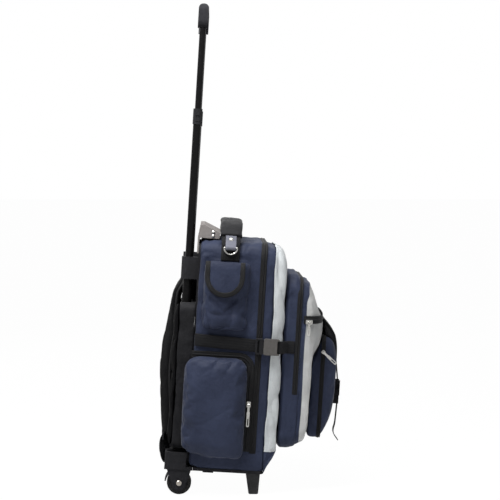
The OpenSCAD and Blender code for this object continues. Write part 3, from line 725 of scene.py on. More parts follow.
class Effects:
    """The shared shader effects, each built once."""

    HEIGHT = {"Height": SocketKind.VALUE}

    def __init__(self) -> None:
        """Builds all groups."""
        self.weave = self._weave()
        self.ribs = self._ribs()
        self.fade = self._fade()
        self.wear = self._wear()
        self.grain = self._grain()

    def _weave(self) -> Tree:
        """Plain weave on the three planes, mixed by the surface's direction.

        Returns:
            The group.
        """
        n, at = new_group("weave", {"Pitch": 0.0011, "Slub": 0.35}, self.HEIGHT)
        where = n.add("ShaderNodeTexCoord").outputs
        scale = {0: where["Object"], "Scale": n.math("DIVIDE", math.pi, at["Pitch"])}
        scaled = n.add("ShaderNodeVectorMath", scale, operation="SCALE").outputs[0]
        s = [n.math("SINE", axis) for axis in n.add("ShaderNodeSeparateXYZ", {0: scaled}).outputs]
        normal = n.add("ShaderNodeSeparateXYZ", {0: where["Normal"]}).outputs
        planes = [n.math("MULTIPLY", n.math("MULTIPLY", s[i - 2], s[i - 1]),
                         n.math("MULTIPLY", normal[i], normal[i])) for i in range(3)]
        total = n.math("ADD", n.math("ADD", planes[0], planes[1]), planes[2])
        slub = n.math("MULTIPLY", n.noise(900.0, 2.0), at["Slub"])
        n.add("NodeGroupOutput", {"Height": n.math("ADD", n.scaled(total, 0.5, 0.5), slub)})
        return n.tree

    def _ribs(self) -> Tree:
        """Cross ribs of webbing or the coil of a zip, along the texture places.

        Returns:
            The group.
        """
        n, at = new_group("ribs", {"Pitch": 0.002, "Columns": 0.004}, self.HEIGHT)
        uv = n.add("ShaderNodeUVMap", uv_map=UV_NAME).outputs[0]
        xyz = n.add("ShaderNodeSeparateXYZ", {0: uv}).outputs
        u, v = [n.math("MULTIPLY", n.math("DIVIDE", xyz[i], at[key]), 2 * math.pi)
                for i, key in enumerate(("Pitch", "Columns"))]
        column = n.math("SINE", v)
        ribs = n.math("SINE", n.math("ADD", u, n.math("MULTIPLY", column, 0.9)))
        height = n.math("ADD", n.math("MULTIPLY", ribs, 0.4), n.math("MULTIPLY", column, 0.2))
        n.add("NodeGroupOutput", {"Height": n.math("ADD", height, 0.5)})
        return n.tree

    def _fade(self) -> Tree:
        """Colour that varies softly, with pale dust in broad patches.

        Returns:
            The group.
        """
        inputs = {"Base": (0.1, 0.1, 0.1, 1), "Faded": (0.2, 0.2, 0.2, 1), "Amount": 0.5, "Scale": 9.0}
        n, at = new_group("fade", inputs, {"Color": SocketKind.COLOR, "Mask": SocketKind.VALUE})
        mask = n.math("MULTIPLY", n.ramp(n.noise(at["Scale"], 5.0, 0.6), 0.36, 0.68), at["Amount"])
        n.add("NodeGroupOutput", {"Color": n.mix(mask, at["Base"], at["Faded"]), "Mask": mask})
        return n.tree

    def _wear(self) -> Tree:
        """Mask of rubbed edges, broken up by noise.

        Returns:
            The group.
        """
        n, at = new_group("edge_wear", {"Amount": 0.5}, {"Mask": SocketKind.VALUE})
        edge = n.ramp(n.add("ShaderNodeNewGeometry").outputs["Pointiness"], 0.51, 0.6)
        broken = n.ramp(n.noise(180.0), 0.35, 0.65)
        n.add("NodeGroupOutput", {"Mask": n.math("MULTIPLY", n.math("MULTIPLY", edge, broken), at["Amount"])})
        return n.tree

    def _grain(self) -> Tree:
        """Pebbled grain of moulded plastic, rubber and vinyl.

        Returns:
            The group.
        """
        n, at = new_group("grain", {"Scale": 1500.0}, self.HEIGHT)
        n.add("NodeGroupOutput", {"Height": n.cells(at["Scale"], feature="SMOOTH_F1")})
        return n.tree


EFFECTS = Effects()


def linear(code: str) -> tuple[float, float, float, float]:
    """Linear colour of an sRGB hex code such as 303850."""
    parts = [int(code[i : i + 2], 16) / 255 for i in (0, 2, 4)]
    return (*[p / 12.92 if p <= 0.04045 else ((p + 0.055) / 1.055) ** 2.4 for p in parts], 1.0)


@dataclass(frozen=True)
class Finish:
    """Base of all finishes: a named material made on first use.

    Attributes:
        color: its colour, as a hex code.
        faded: colour of its faded patches and rubbed edges.
        amount: how strongly it fades.
        slot: name of a colour slot; not used.
        patches: faded patches per metre.
    """

    patches: ClassVar[float]
    name: str
    color: str
    faded: str
    amount: float
    roughness: float
    slot: str

    def material(self) -> bpy.types.Material:
        """The finish's material, made on first use.

        Returns:
            The material.
        """
        found = bpy.data.materials.get(self.name)
        if found is None:
            found = bpy.data.materials.new(self.name)
            found.use_nodes = True
            n = Nodes(found.node_tree)
            n.feed(n.tree.nodes["Principled BSDF"], self.dress(n, *self.colored(n)))
        return found

    def dress(self, n: Nodes, color: Socket, mask: Socket) -> dict[str, object]:
        """Inputs of the principled shader, from the fade's colour and mask."""
        raise NotImplementedError

    def colored(self, n: Nodes) -> tuple[Socket, Socket]:
        """Colour and mask of the fade group with this finish's values."""
        ends = {"Base": linear(self.color), "Faded": linear(self.faded)}
        return tuple(n.group(EFFECTS.fade, **ends, Amount=self.amount, Scale=self.patches).outputs)

    @staticmethod
    def bump(n: Nodes, *heights: tuple[Socket, float]) -> Socket:
        """Chains bump nodes.

        Args:
            n: the material's nodes.
            *heights: each bump's height and its depth in metres.

        Returns:
            The normal of all bumps.
        """
        before: dict = {}
        for height, depth in heights:
            inputs = {"Height": height, "Distance": depth, "Strength": 1.0}
            before = {"Normal": n.add("ShaderNodeBump", inputs | before).outputs[0]}
        return before["Normal"]


@dataclass(frozen=True)
class Fabric(Finish):
    """Woven cloth.

    Attributes:
        pitch: width of a yarn, in metres.
        depth: height of the weave's bump, in metres.
        crease: height of the soft creases, in metres.
    """

    patches: ClassVar[float] = 11.0
    pitch: float = 0.0011
    depth: float = 0.00016
    crease: float = 0.0034
    sheen: float = 0.04
    metallic: float = 0.0

    def dress(self, n: Nodes, color: Socket, mask: Socket) -> dict[str, object]:
        """Wires fade, weave and creases; the weave also paints shade into the colour in its hollows and a highlight
        on its ridges.
        """
        weave = n.group(EFFECTS.weave, Pitch=self.pitch).outputs[0]
        return {
            # Painted shade in the weave's hollows and painted highlight on its ridges.
            "Base Color": n.shaded(color, weave, 0.1, 0.9, 0.84, 1.08),
            "Roughness": n.scaled(mask, 0.12, self.roughness),
            "Metallic": self.metallic,
            "Sheen Weight": self.sheen,
            "Sheen Roughness": 0.45,
            "Specular IOR Level": 0.12,
            "Normal": self.bump(n, (n.noise(42.0, 3.0, 0.5), self.crease), (weave, self.depth)),
        }


@dataclass(frozen=True)
class Thread(Fabric):
    """Sewing thread: a fine weave without creases."""

    pitch: float = 0.0004
    depth: float = 0.00005
    crease: float = 0.0


@dataclass(frozen=True)
class SpacerMesh(Finish):
    """Padded air mesh with small round cells.

    Attributes:
        cells: cells per metre.
    """

    patches: ClassVar[float] = 12.0
    cells: float = 420.0
    hole: str = "0b0b0c"

    def dress(self, n: Nodes, color: Socket, mask: Socket) -> dict[str, object]:
        """Wires fade, cells and soft creases."""
        holes = n.ramp(n.cells(self.cells), 0.15, 0.55)
        return {
            "Base Color": n.mix(n.scaled(holes, 0.55, 0.5), color, linear(self.hole)),
            "Roughness": n.scaled(mask, 0.1, self.roughness),
            "Specular IOR Level": 0.02,
            "Normal": self.bump(n, (n.noise(36.0, 3.0), 0.0014), (holes, 0.0005)),
        }


@dataclass(frozen=True)
class Webbing(Finish):
    """Woven strap or zip tape with ribs across it.

    Attributes:
        pitch: length of a rib along the strap, in metres.
        columns: width of a yarn column, in metres.
        depth: height of the ribs, in metres.
    """

    patches: ClassVar[float] = 20.0
    pitch: float = 0.0022
    columns: float = 0.0052
    depth: float = 0.0004

    def dress(self, n: Nodes, color: Socket, mask: Socket) -> dict[str, object]:
        """Wires fade and ribs; the ribs also paint shade into the colour between them and a highlight on their tops.
        """
        ribs = n.group(EFFECTS.ribs, Pitch=self.pitch, Columns=self.columns).outputs[0]
        return {
            # Painted shade between the ribs and painted highlight on their tops.
            "Base Color": n.shaded(color, ribs, 0.0, 1.0, 0.6, 1.25),
            "Roughness": n.scaled(mask, 0.15, self.roughness),
            "Sheen Weight": 0.02,
            "Specular IOR Level": 0.12,
            "Normal": self.bump(n, (ribs, self.depth), (n.noise(1400.0, 2.0), 0.0001)),
        }


@dataclass(frozen=True)
class Moulded(Finish):
    """Moulded plastic, rubber or vinyl with grain and rubbed edges.

    Attributes:
        grain: cells of the grain per metre.
        depth: height of the grain, in metres.
        wear: how much the edges are rubbed.
        matt: roughness that the moulding adds.
    """

    patches: ClassVar[float] = 16.0
    grain: float = 1500.0
    depth: float = 0.00008
    wear: float = 0.5
    specular: float = 0.25
    matt: float = 0.5

    def dress(self, n: Nodes, color: Socket, mask: Socket) -> dict[str, object]:
        """Wires fade, grain and edge wear."""
        wear = n.group(EFFECTS.wear, Amount=self.wear).outputs[0]
        return {
            "Base Color": n.mix(wear, color, linear(self.faded)),
            "Roughness": n.math("ADD", n.scaled(mask, 0.14, n.scaled(wear, 0.1, self.matt)), self.roughness),
            "Specular IOR Level": self.specular,
            "Normal": self.bump(n, (n.group(EFFECTS.grain, Scale=self.grain).outputs[0], self.depth)),
        }


@dataclass(frozen=True)
class Metal(Finish):
    """Plated or painted metal with smudges and fine scratches.

    Attributes:
        metallic: 1 for bare plate, 0 under paint.
    """

    patches: ClassVar[float] = 60.0
    metallic: float = 1.0
    specular: float = 0.5

    def dress(self, n: Nodes, color: Socket, mask: Socket) -> dict[str, object]:
        """Wires fade, smudges and scratches."""
        smudge = n.ramp(n.noise(90.0, 5.0), 0.4, 0.7, 0.0, 0.16)
        return {
            "Base Color": color,
            "Roughness": n.math("ADD", smudge, self.roughness),
            "Metallic": self.metallic,
            "Specular IOR Level": self.specular,
            "Normal": self.bump(n, (n.noise(2200.0, 2.0), 0.00002)),
        }


PALE = {"crease": 0.003, "sheen": 0.0, "metallic": 0.12}
NAVY = Fabric("navy_polyester", "1a1f2f", "262c3e", 0.7, 0.6, "navy_fabric")
SILVER = Fabric("silver_polyester", "a8abac", "8f9293", 0.7, 0.5, "silver_fabric", **PALE)
# Darker copy of the silver fabric for the swell: partly the panel's own greyer tone, partly painted shade of its
# front-left face, which turns away from the key lamp.
SWELL_GREY_WITH_PAINTED_SHADE = Fabric("grey_polyester", "989897", "828382", 0.7, 0.52, "silver_fabric", **PALE)
LINING = Fabric("black_polyester", "0c0c0e", "151518", 0.6, 0.66, "black_fabric", pitch=0.0013)
AIR_MESH = SpacerMesh("black_air_mesh", "070708", "0f0f11", 0.6, 0.7, "black_fabric")
STRAP = Webbing("black_webbing", "0b0b0d", "151517", 0.5, 0.6, "webbing")
BINDING = Webbing("black_binding", "0d0d0e", "171718", 0.5, 0.6, "zip_tape", 0.0016, 0.003, 0.0002)
ZIP_TAPE = Webbing("black_zip_tape", "0b0b0c", "141416", 0.5, 0.6, "zip_tape", 0.0024, 0.009, 0.00035)
THREAD_NAVY = Thread("navy_thread", "1a2033", "2a3046", 0.5, 0.6, "navy_fabric")
THREAD_GREY = Thread("grey_thread", "8f9496", "a5a9ab", 0.5, 0.6, "silver_fabric")
PLASTIC = Moulded("black_moulding", "0f0f11", "1d1d20", 0.5, 0.46, "black_plastic", specular=0.2)
FOOT = Moulded("foot_moulding", "222223", "303031", 0.5, 0.55, "black_plastic")
BRACKET = Moulded("grey_moulding", "5f5b59", "716d6b", 0.5, 0.5, "grey_plastic", wear=0.4)
BUCKLE = Moulded("buckle_moulding", "343230", "474442", 0.4, 0.36, "buckle_grey", depth=0.00003, specular=0.5)
BUTTON = Moulded("button_moulding", "8c8d8f", "a3a4a6", 0.4, 0.45, "button_grey")
RUBBER = Moulded("tyre_compound", "161617", "2b2a29", 0.7, 0.72, "tyre_rubber", 900.0, 0.0001)
VINYL = Moulded("vinyl_sheet", "4c4d55", "5d5e66", 0.6, 0.7, "grey_vinyl", 700.0, 0.00012, specular=0.08)
TUBE_PAINT = Metal("tube_enamel", "080808", "0e0d0f", 0.5, 0.26, "tube_black", metallic=0.0, specular=0.06)
NICKEL = Metal("nickel_plate", "b4b3b0", "85847f", 0.7, 0.22, "nickel")
STEEL = Metal("zinc_steel", "a8a29a", "87827a", 0.6, 0.32, "steel")


# --- pieces

Object = bpy.types.Object


def turn_out(data: bpy.types.Mesh) -> None:
    """Turns all faces of a closed mesh outwards.

    Args:
        data: the mesh.
    """
    bm = bmesh.new()
    bm.from_mesh(data)
    bmesh.ops.recalc_face_normals(bm, faces=bm.faces)
    bm.to_mesh(data)
    bm.free()


def new_object(name: str, data: bpy.types.ID) -> Object:
    """Puts mesh, lamp or camera data into the scene.

    Args:
        name: name of the object.
        data: what it holds.

    Returns:
        The object.
    """
    obj = bpy.data.objects.new(name, data)
    bpy.context.scene.collection.objects.link(obj)
    return obj


def solid(name: str, mesh: MeshData) -> Object:
    """Leans a mesh into the row frame and puts it into the scene.

    Args:
        name: name of the object.
        mesh: its points, faces and texture places.

    Returns:
        The object.
    """
    data = bpy.data.meshes.new(name)
    data.from_pydata(BAG.to_world(mesh.points).tolist(), [], mesh.faces)
    if mesh.uv is not None:
        layer = data.uv_layers.new(name=UV_NAME)
        index = np.zeros(len(data.loops), int)
        data.loops.foreach_get("vertex_index", index)
        layer.data.foreach_set("uv", mesh.uv[index].astype(np.float32).ravel())
    turn_out(data)
    return new_object(name, data)


def piece(name: str, mesh: MeshData, finish: Finish, body: str = "bag", replaces: Sequence[str] = (),
          subdivide: int = 0, extra: Sequence[Finish] = (), move: Optional[Move] = None,
          paint: Optional[Gauge] = None, ride: bool = True,
          soft: Optional["Softening"] = None) -> Object:
    """Makes one object of the scene and hangs it on its body.

    Args:
        name: the object's name.
        mesh: its points and faces.
        finish: its main finish.
        body: CAD body that it moves with.
        replaces: CAD nodes that it stands for.
        subdivide: smooth subdivisions that are applied.
        extra: further finishes, for faces that paint picks.
        move: gives each point's shift along its normal from points and normals in the bag's frame.
        paint: gives the finish number of each face from the faces' centres in the bag's frame.
        ride: whether it is hung on its body.
        soft: remesh and cloth run for a closed soft shell.

    Returns:
        The object.
    """
    obj = solid(name, mesh)
    if soft is not None:
        soft.apply(obj)
    if subdivide:
        apply_modifier(obj, "SUBSURF", levels=subdivide, render_levels=subdivide)
    if move is not None:
        shift_points(obj, move)
    for f in (finish, *extra):
        obj.data.materials.append(f.material())
    if paint is not None:
        paint_faces(obj, paint)
    obj.data.polygons.foreach_set("use_smooth", np.ones(len(obj.data.polygons), bool))
    obj.data.update()
    if replaces:
        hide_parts(*replaces)
    if ride:
        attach(obj, body)
    LOG.info("%s: %d faces on %s", name, len(obj.data.polygons), body)
    return obj


def side_piece(name: str, mesh: MeshData, side: Side, finish: Finish, node: str = "", **options: object) -> Object:
    """Makes a piece that is drawn on the left for one side.

    Args:
        name: the object's name, with {} for the side.
        mesh: the left piece.
        side: the wanted side.
        finish: its finish.
        node: CAD node that it stands for, with {} for the side; without, the left piece stands for it.
        **options: further arguments of piece.

    Returns:
        The object.
    """
    drawn = mesh if side is Side.LEFT else mesh.mirrored()
    nodes = [node.format(side.label)] if node and (side is Side.LEFT or "{}" in node) else []
    return piece(name.format(side.label), drawn, finish, replaces=nodes, **options)


def apply_modifier(obj: Object, kind: str, **settings: object) -> None:
    """Keeps a modifier's result as the object's mesh.

    Args:
        obj: a mesh object.
        kind: the modifier's type name.
        **settings: attributes of the modifier.
    """
    assign(obj.modifiers.new("shape", kind), **settings)
    made = bpy.data.meshes.new_from_object(obj.evaluated_get(bpy.context.evaluated_depsgraph_get()))
    obj.modifiers.clear()
    obj.data = made


def local_points(mesh: bpy.types.Mesh) -> Array:
    """A mesh's points in the bag's frame, in millimetres."""
    return BAG.to_local(rows_of(mesh.vertices, "co"))


def set_points(obj: Object, points: Array) -> None:
    """Writes an object's points, given in the bag's frame."""
    obj.data.vertices.foreach_set("co", BAG.to_world(points).astype(np.float32).ravel())
    obj.data.update()


def shift_points(obj: Object, move: Move) -> None:
    """Moves an object's points along their normals.

    Args:
        obj: a mesh object.
        move: gives each point's shift in millimetres from points and normals in the bag's frame.
    """
    normals = rows_of(obj.data.vertices, "normal") @ BAG.turn()
    points = local_points(obj.data)
    set_points(obj, points + normals * move(points, normals)[:, None])


def paint_faces(obj: Object, paint: Gauge) -> None:
    """Gives each face the finish number that paint returns for its centre."""
    index = paint(BAG.to_local(rows_of(obj.data.polygons, "center")))
    obj.data.polygons.foreach_set("material_index", np.asarray(index, np.int32))


@dataclass(frozen=True)
class ClothRun:
    """A short cloth simulation that swells a piece between its seams.

    Attributes:
        slack: spare cloth, as a share of its length.
        cap: most that a point may move, in millimetres.
        stretch: stiffness against stretching and shearing.
        quality: substeps of a step.
    """

    pressure: float
    slack: float
    cap: float
    bend: float
    stretch: float = 12.0
    mass: float = 0.25
    quality: int = 5
    frames: int = 20

    def settle(self, obj: Object, held: Gauge) -> None:
        """Runs the simulation and keeps its result in the mesh.

        Args:
            obj: a mesh object with no parent.
            held: gives each point's hold, from 0, free, to 1, sewn, in the bag's frame.
        """
        start = local_points(obj.data)
        group = obj.vertex_groups.new(name="seam")
        for i, weight in enumerate(np.clip(held(start), 0, 1)):
            group.add([i], float(weight), "REPLACE")
        cloth = obj.modifiers.new("cloth", "CLOTH")
        assign(cloth.settings, quality=self.quality, mass=self.mass, tension_stiffness=self.stretch,
               compression_stiffness=self.stretch, shear_stiffness=self.stretch, bending_stiffness=self.bend,
               use_pressure=True, uniform_pressure_force=self.pressure, shrink_min=-self.slack,
               vertex_group_mass=group.name)
        cloth.settings.effector_weights.gravity = 0.0
        cloth.collision_settings.use_collision = False
        scene = bpy.context.scene
        for k in range(1, self.frames + 1):
            scene.frame_set(k)
        made = obj.evaluated_get(bpy.context.evaluated_depsgraph_get()).to_mesh()
        step = local_points(made) - start
        far = np.linalg.norm(step, axis=1)
        step *= np.minimum(1.0, self.cap / np.maximum(far, TINY))[:, None]
        obj.modifiers.clear()
        obj.vertex_groups.clear()
        scene.frame_set(1)
        set_points(obj, start + step)


@dataclass(frozen=True)
class Softening:
    """Even remesh, cloth run and smoothing of a closed soft shell.

    Attributes:
        voxel: cell of the remesh, in millimetres.
        held: gives each point's hold, from 0, free, to 1, sewn, in the bag's frame.
        passes: smoothing passes after the remesh.
    """

    voxel: float
    run: ClothRun
    held: Gauge
    passes: int = 3

    def apply(self, obj: Object) -> None:
        """Remeshes, settles and smooths the shell.

        Args:
            obj: the shell.
        """
        apply_modifier(obj, "REMESH", mode="VOXEL", voxel_size=self.voxel * MM)
        apply_modifier(obj, "SMOOTH", factor=0.5, iterations=self.passes)
        self.run.settle(obj, self.held)
        apply_modifier(obj, "SUBSURF", levels=1, render_levels=1)


def hold(*seams: tuple[Array, float]) -> Array:
    """Hold of points by seams, from 0, free, to 1, sewn, given their distances from each and its reach."""
    return np.max([np.clip(1 - distance / reach, 0, 1) for distance, reach in seams], axis=0)


CLOTH_SIDES = ClothRun(pressure=2.5, slack=0.012, cap=3.0, bend=0.8)
CLOTH_POCKET = ClothRun(pressure=4.0, slack=0.03, cap=7.0, bend=0.4)
CLOTH_PAD = ClothRun(pressure=5.0, slack=0.01, cap=6.0, bend=1.5)


@dataclass(frozen=True)
class ZipBand:
    """Section of a closed zip: two tapes and a raised coil between them.

    Attributes:
        width: width over both tapes.
        tape_lift: height of the tapes over the cloth.
        sink: how far the outer edges sink into the cloth.
    """

    width: float
    tape_lift: float = 0.9
    coil_lift: float = 1.9
    sink: float = 0.6

    def section(self) -> Array:
        """Rows of place across the width, from -0.5 to 0.5, and lift.

        Returns:
            The rows, from one edge to the other.
        """
        t, c = self.tape_lift, self.coil_lift
        half = [(0.0, c), (0.07, c * 0.93), (0.13, c * 0.6), (0.16, t * 0.7), (0.22, t), (0.4, t * 1.05),
                (0.47, t * 0.8), (0.5, -self.sink)]
        return np.array([(-a, b) for a, b in half[:0:-1]] + half)

    def along(self, path: Array, across: Array, out: Array) -> MeshData:
        """Lays the zip along a path on a surface.

        Args:
            path: points of the coil's line.
            across: unit direction over the tapes, one for all points or one each.
            out: outward direction, one for all points or one each.

        Returns:
            The mesh, with lengths in metres as texture places.
        """
        across, out = np.broadcast_to(across, path.shape), np.broadcast_to(out, path.shape)
        section = self.section()
        shown = np.ones(len(path))
        shown[[0, -1]] = 0.0
        rows = np.array([[p + a * self.width * w + (b * k - (1 - k)) * o for a, b in section]
                         for p, w, o, k in zip(path, across, out, shown)])
        uv = np.array([[(s, a * self.width * MM) for a, _ in section] for s in lengths_along(path) * MM])
        return grid_mesh(rows, uv)


def lay_zip(name: str, band: ZipBand, ring: Array, foot: float) -> None:
    """Lays a zip over a compartment's top and down both of its sides.

    Args:
        name: name of the piece; its CAD node is the tape of that name.
        band: section of the zip.
        ring: section of the compartment under the zip.
        foot: height where the zip ends.
    """
    keep = ring[:, 2] > foot
    mesh = band.along(ring[keep], BACK, ring_out(ring)[keep])
    piece(name, mesh, ZIP_TAPE, replaces=[f"{name}_tape"])


def cut_level(obj: Object, level: float) -> None:
    """Adds a row of edges to a mesh where it crosses a level of the bag's frame.

    Args:
        obj: a mesh object.
        level: the height, in millimetres.
    """
    bm = bmesh.new()
    bm.from_mesh(obj.data)
    bmesh.ops.bisect_plane(bm, geom=[*bm.verts, *bm.edges, *bm.faces], plane_co=BAG.to_world(UP * level),
                           plane_no=BAG.turn()[:, 2])
    bm.to_mesh(obj.data)
    bm.free()


def laid_on(path: Array, cloth: Object) -> tuple[Array, Array]:
    """Lays a path on a piece of cloth.

    Args:
        path: points near the cloth, in the bag's frame.
        cloth: a finished piece.

    Returns:
        The nearest points on the cloth and its outward directions there.
    """
    mesh = cloth.data
    tree = BVHTree.FromPolygons([v.co for v in mesh.vertices], [f.vertices for f in mesh.polygons])
    found = [tree.find_nearest(Vector(p)) for p in BAG.to_world(path)]
    return BAG.to_local(np.array([f[0] for f in found])), np.array([f[1] for f in found]) @ BAG.turn()


# --- sub-assemblies


@dataclass
class MainCompartment:
    """The large navy compartment, its zip and the silver front edge.

    Attributes:
        roll: how far the back edge rolls in.
        step: how far the top in front of the zip lies under the rest.
        stripe_foot: height of the front edge's slanted foot.
        hang: how far the front edge hangs in front of the chassis plate.
        rest: how deep the foot rests on the plate.
        strap_level: height of the compression straps over the foot.
        wander: how far from the stripe's seam its waver reaches.
    """

    r_top: float = 30.0
    r_low: float = 5.0
    roll: float = 9.0
    step: float = 9.0
    stripe_foot: float = 47.0
    hang: float = 6.0
    rest: float = 4.0
    strap_level: float = 245.0
    stitch_gap: float = 2.6
    wander: float = 16.0
    zip_band: ZipBand = ZipBand(13.0, 1.2, 2.2)
    edge_folds: Wrinkles = Wrinkles(2.0, (80, 60, 40), 9.0, 3.6, (70, 44, 60), 11.0)

    def __post_init__(self) -> None:
        """Takes the sizes from the frame."""
        body = BAG.box("main_compartment")
        self.front, self.tape = BAG.box("main_front_panel"), BAG.box("main_zip_tape")
        self.half, self.back_y, self.z1 = body.high
        self.z0 = body.low[2]
        self.seam_y, self.zip_y = self.front.high[1] + 0.15, self.tape.middle[1]

    def ring(self, y: float, inset: float = 0.0, high: float = 0.0, low: float = 0.0) -> Array:
        """One section of the compartment.

        Args:
            y: its depth.
            inset: how far its sides draw in.
            high: how far its top lies lower.
            low: how far its foot lies higher.

        Returns:
            Closed ring of points, with the step at the zip and the wavering seam of the stripe.
        """
        down = self.step * share_of(self.tape.high[1] - y, self.tape.size[1]) ** 1.5
        half = self.half - inset
        p = GRID.ring(y, -half, half, self.z0 + low, self.z1 - high - down, self.r_top, self.r_low)
        near = np.clip(1 - np.abs(p[:, 1] - self.seam_y) / self.wander, 0, 1)
        p[:, 1] += near * (2.0 * lattice(p / [70, 400, 60], 3.0) + 1.0 * lattice(p / [50, 400, 21], 4.0))
        return p

    def build(self) -> None:
        """Makes the body, the front edge, the zip and the seams."""
        rings = [self.ring(self.back_y + 2.5 - self.roll * (1 - math.cos(a)), *[self.roll * (1 - math.sin(a))] * 3)
                 for a in np.linspace(0, math.pi / 2, 6)]
        rings += [self.ring(y, low=-self.rest) for y in np.linspace(self.back_y - self.roll, self.seam_y, 30)[1:]]
        rings += [self.ring(self.seam_y - 5, 3, 3, 0)]
        body = piece("main_body", skin(np.array(rings), cap_first=10, cap_last=4), NAVY,
                     replaces=["main_compartment"], move=self.wrinkle, soft=Softening(6.0, CLOTH_SIDES, self.held))
        edge = self.front_edge()
        lay_zip("main_zip", self.zip_band, self.ring(self.zip_y), self.tape.low[2] + 0.5)
        self.seams(body, edge)

    def held(self, p: Array) -> Array:
        """Holds the body at its back edge, foot, seams, zip and the parts that are sewn on."""
        y, z = p[:, 1], p[:, 2]
        return hold((np.abs(y - self.seam_y), 9.0), (self.back_y - 12 - y, 8.0),
                    (np.abs(y - self.zip_y) - 20, 10.0), (z - self.z0 - 14, 12.0),
                    (np.abs(z - self.z0 - self.strap_level) - 40, 14.0), (self.z1 - 26 - z, 14.0))

    def wrinkle(self, p: Array, n: Array) -> Array:
        """Soft folds and pulled creases, with flat cloth under zips and straps.

        Args:
            p: points in the bag's frame.
            n: their normals; not used.

        Returns:
            Each point's shift.
        """
        y, z = p[:, 1], p[:, 2]
        free = share_of(np.abs(y - self.zip_y) - 9, 16)
        free *= share_of(np.abs(z - self.z0 - self.strap_level) - 22, 30)
        near = bell(y - self.back_y, 22) + bell(z - self.z1, 26)
        crease = creases(p, (60, 40, 90), 5.0) + 0.8 * near * creases(p, (50, 30, 34), 8.0)
        return free * (1.6 * folds(p, (90, 60, 120), 1.0) + 2.8 * crease) - 0.4

    def edge_wrinkle(self, p: Array, n: Array) -> Array:
        """Relief of the front edge, with flat cloth at its seam."""
        return share_of(self.seam_y - p[:, 1], 7) * self.edge_folds(p, n)

    def front_edge(self) -> Object:
        """Makes the front panel that rolls from the sides to the front, silver above and navy at the foot.

        Returns:
            The panel.
        """
        rings = []
        for a in np.linspace(math.pi / 2, 0, 24):
            ahead, pull = math.cos(a), 1 - math.cos(math.pi / 2 - a)
            low = self.stripe_foot * ahead - self.hang
            rings.append(self.ring(self.seam_y - self.front.size[1] * ahead, 12 * pull, 34 * pull, low))
        limit = self.z0 + self.stripe_foot - self.hang
        obj = piece("main_front_edge", skin(np.array(rings), cap_last=10), SILVER, replaces=["main_front_panel"],
                    extra=[NAVY], move=self.edge_wrinkle)
        cut_level(obj, limit)
        paint_faces(obj, lambda c: c[:, 2] < limit)
        return obj

    def seams(self, body: Object, edge: Object) -> None:
        """Rows of stitching beside the zip and along the stripe.

        Args:
            body: the compartment's body.
            edge: its front edge.
        """
        for name, y, thread, cloth in (("rear", self.tape.high[1] + self.stitch_gap, THREAD_NAVY, body),
                                       ("front", self.tape.low[1] - self.stitch_gap, THREAD_NAVY, body),
                                       ("stripe", self.seam_y - 3.0, THREAD_GREY, edge)):
            ring = self.ring(y)
            keep = ring[:, 2] > self.z0 + self.stripe_foot
            piece(f"main_{name}_stitching", stitches(*laid_on(ring[keep], cloth)), thread)


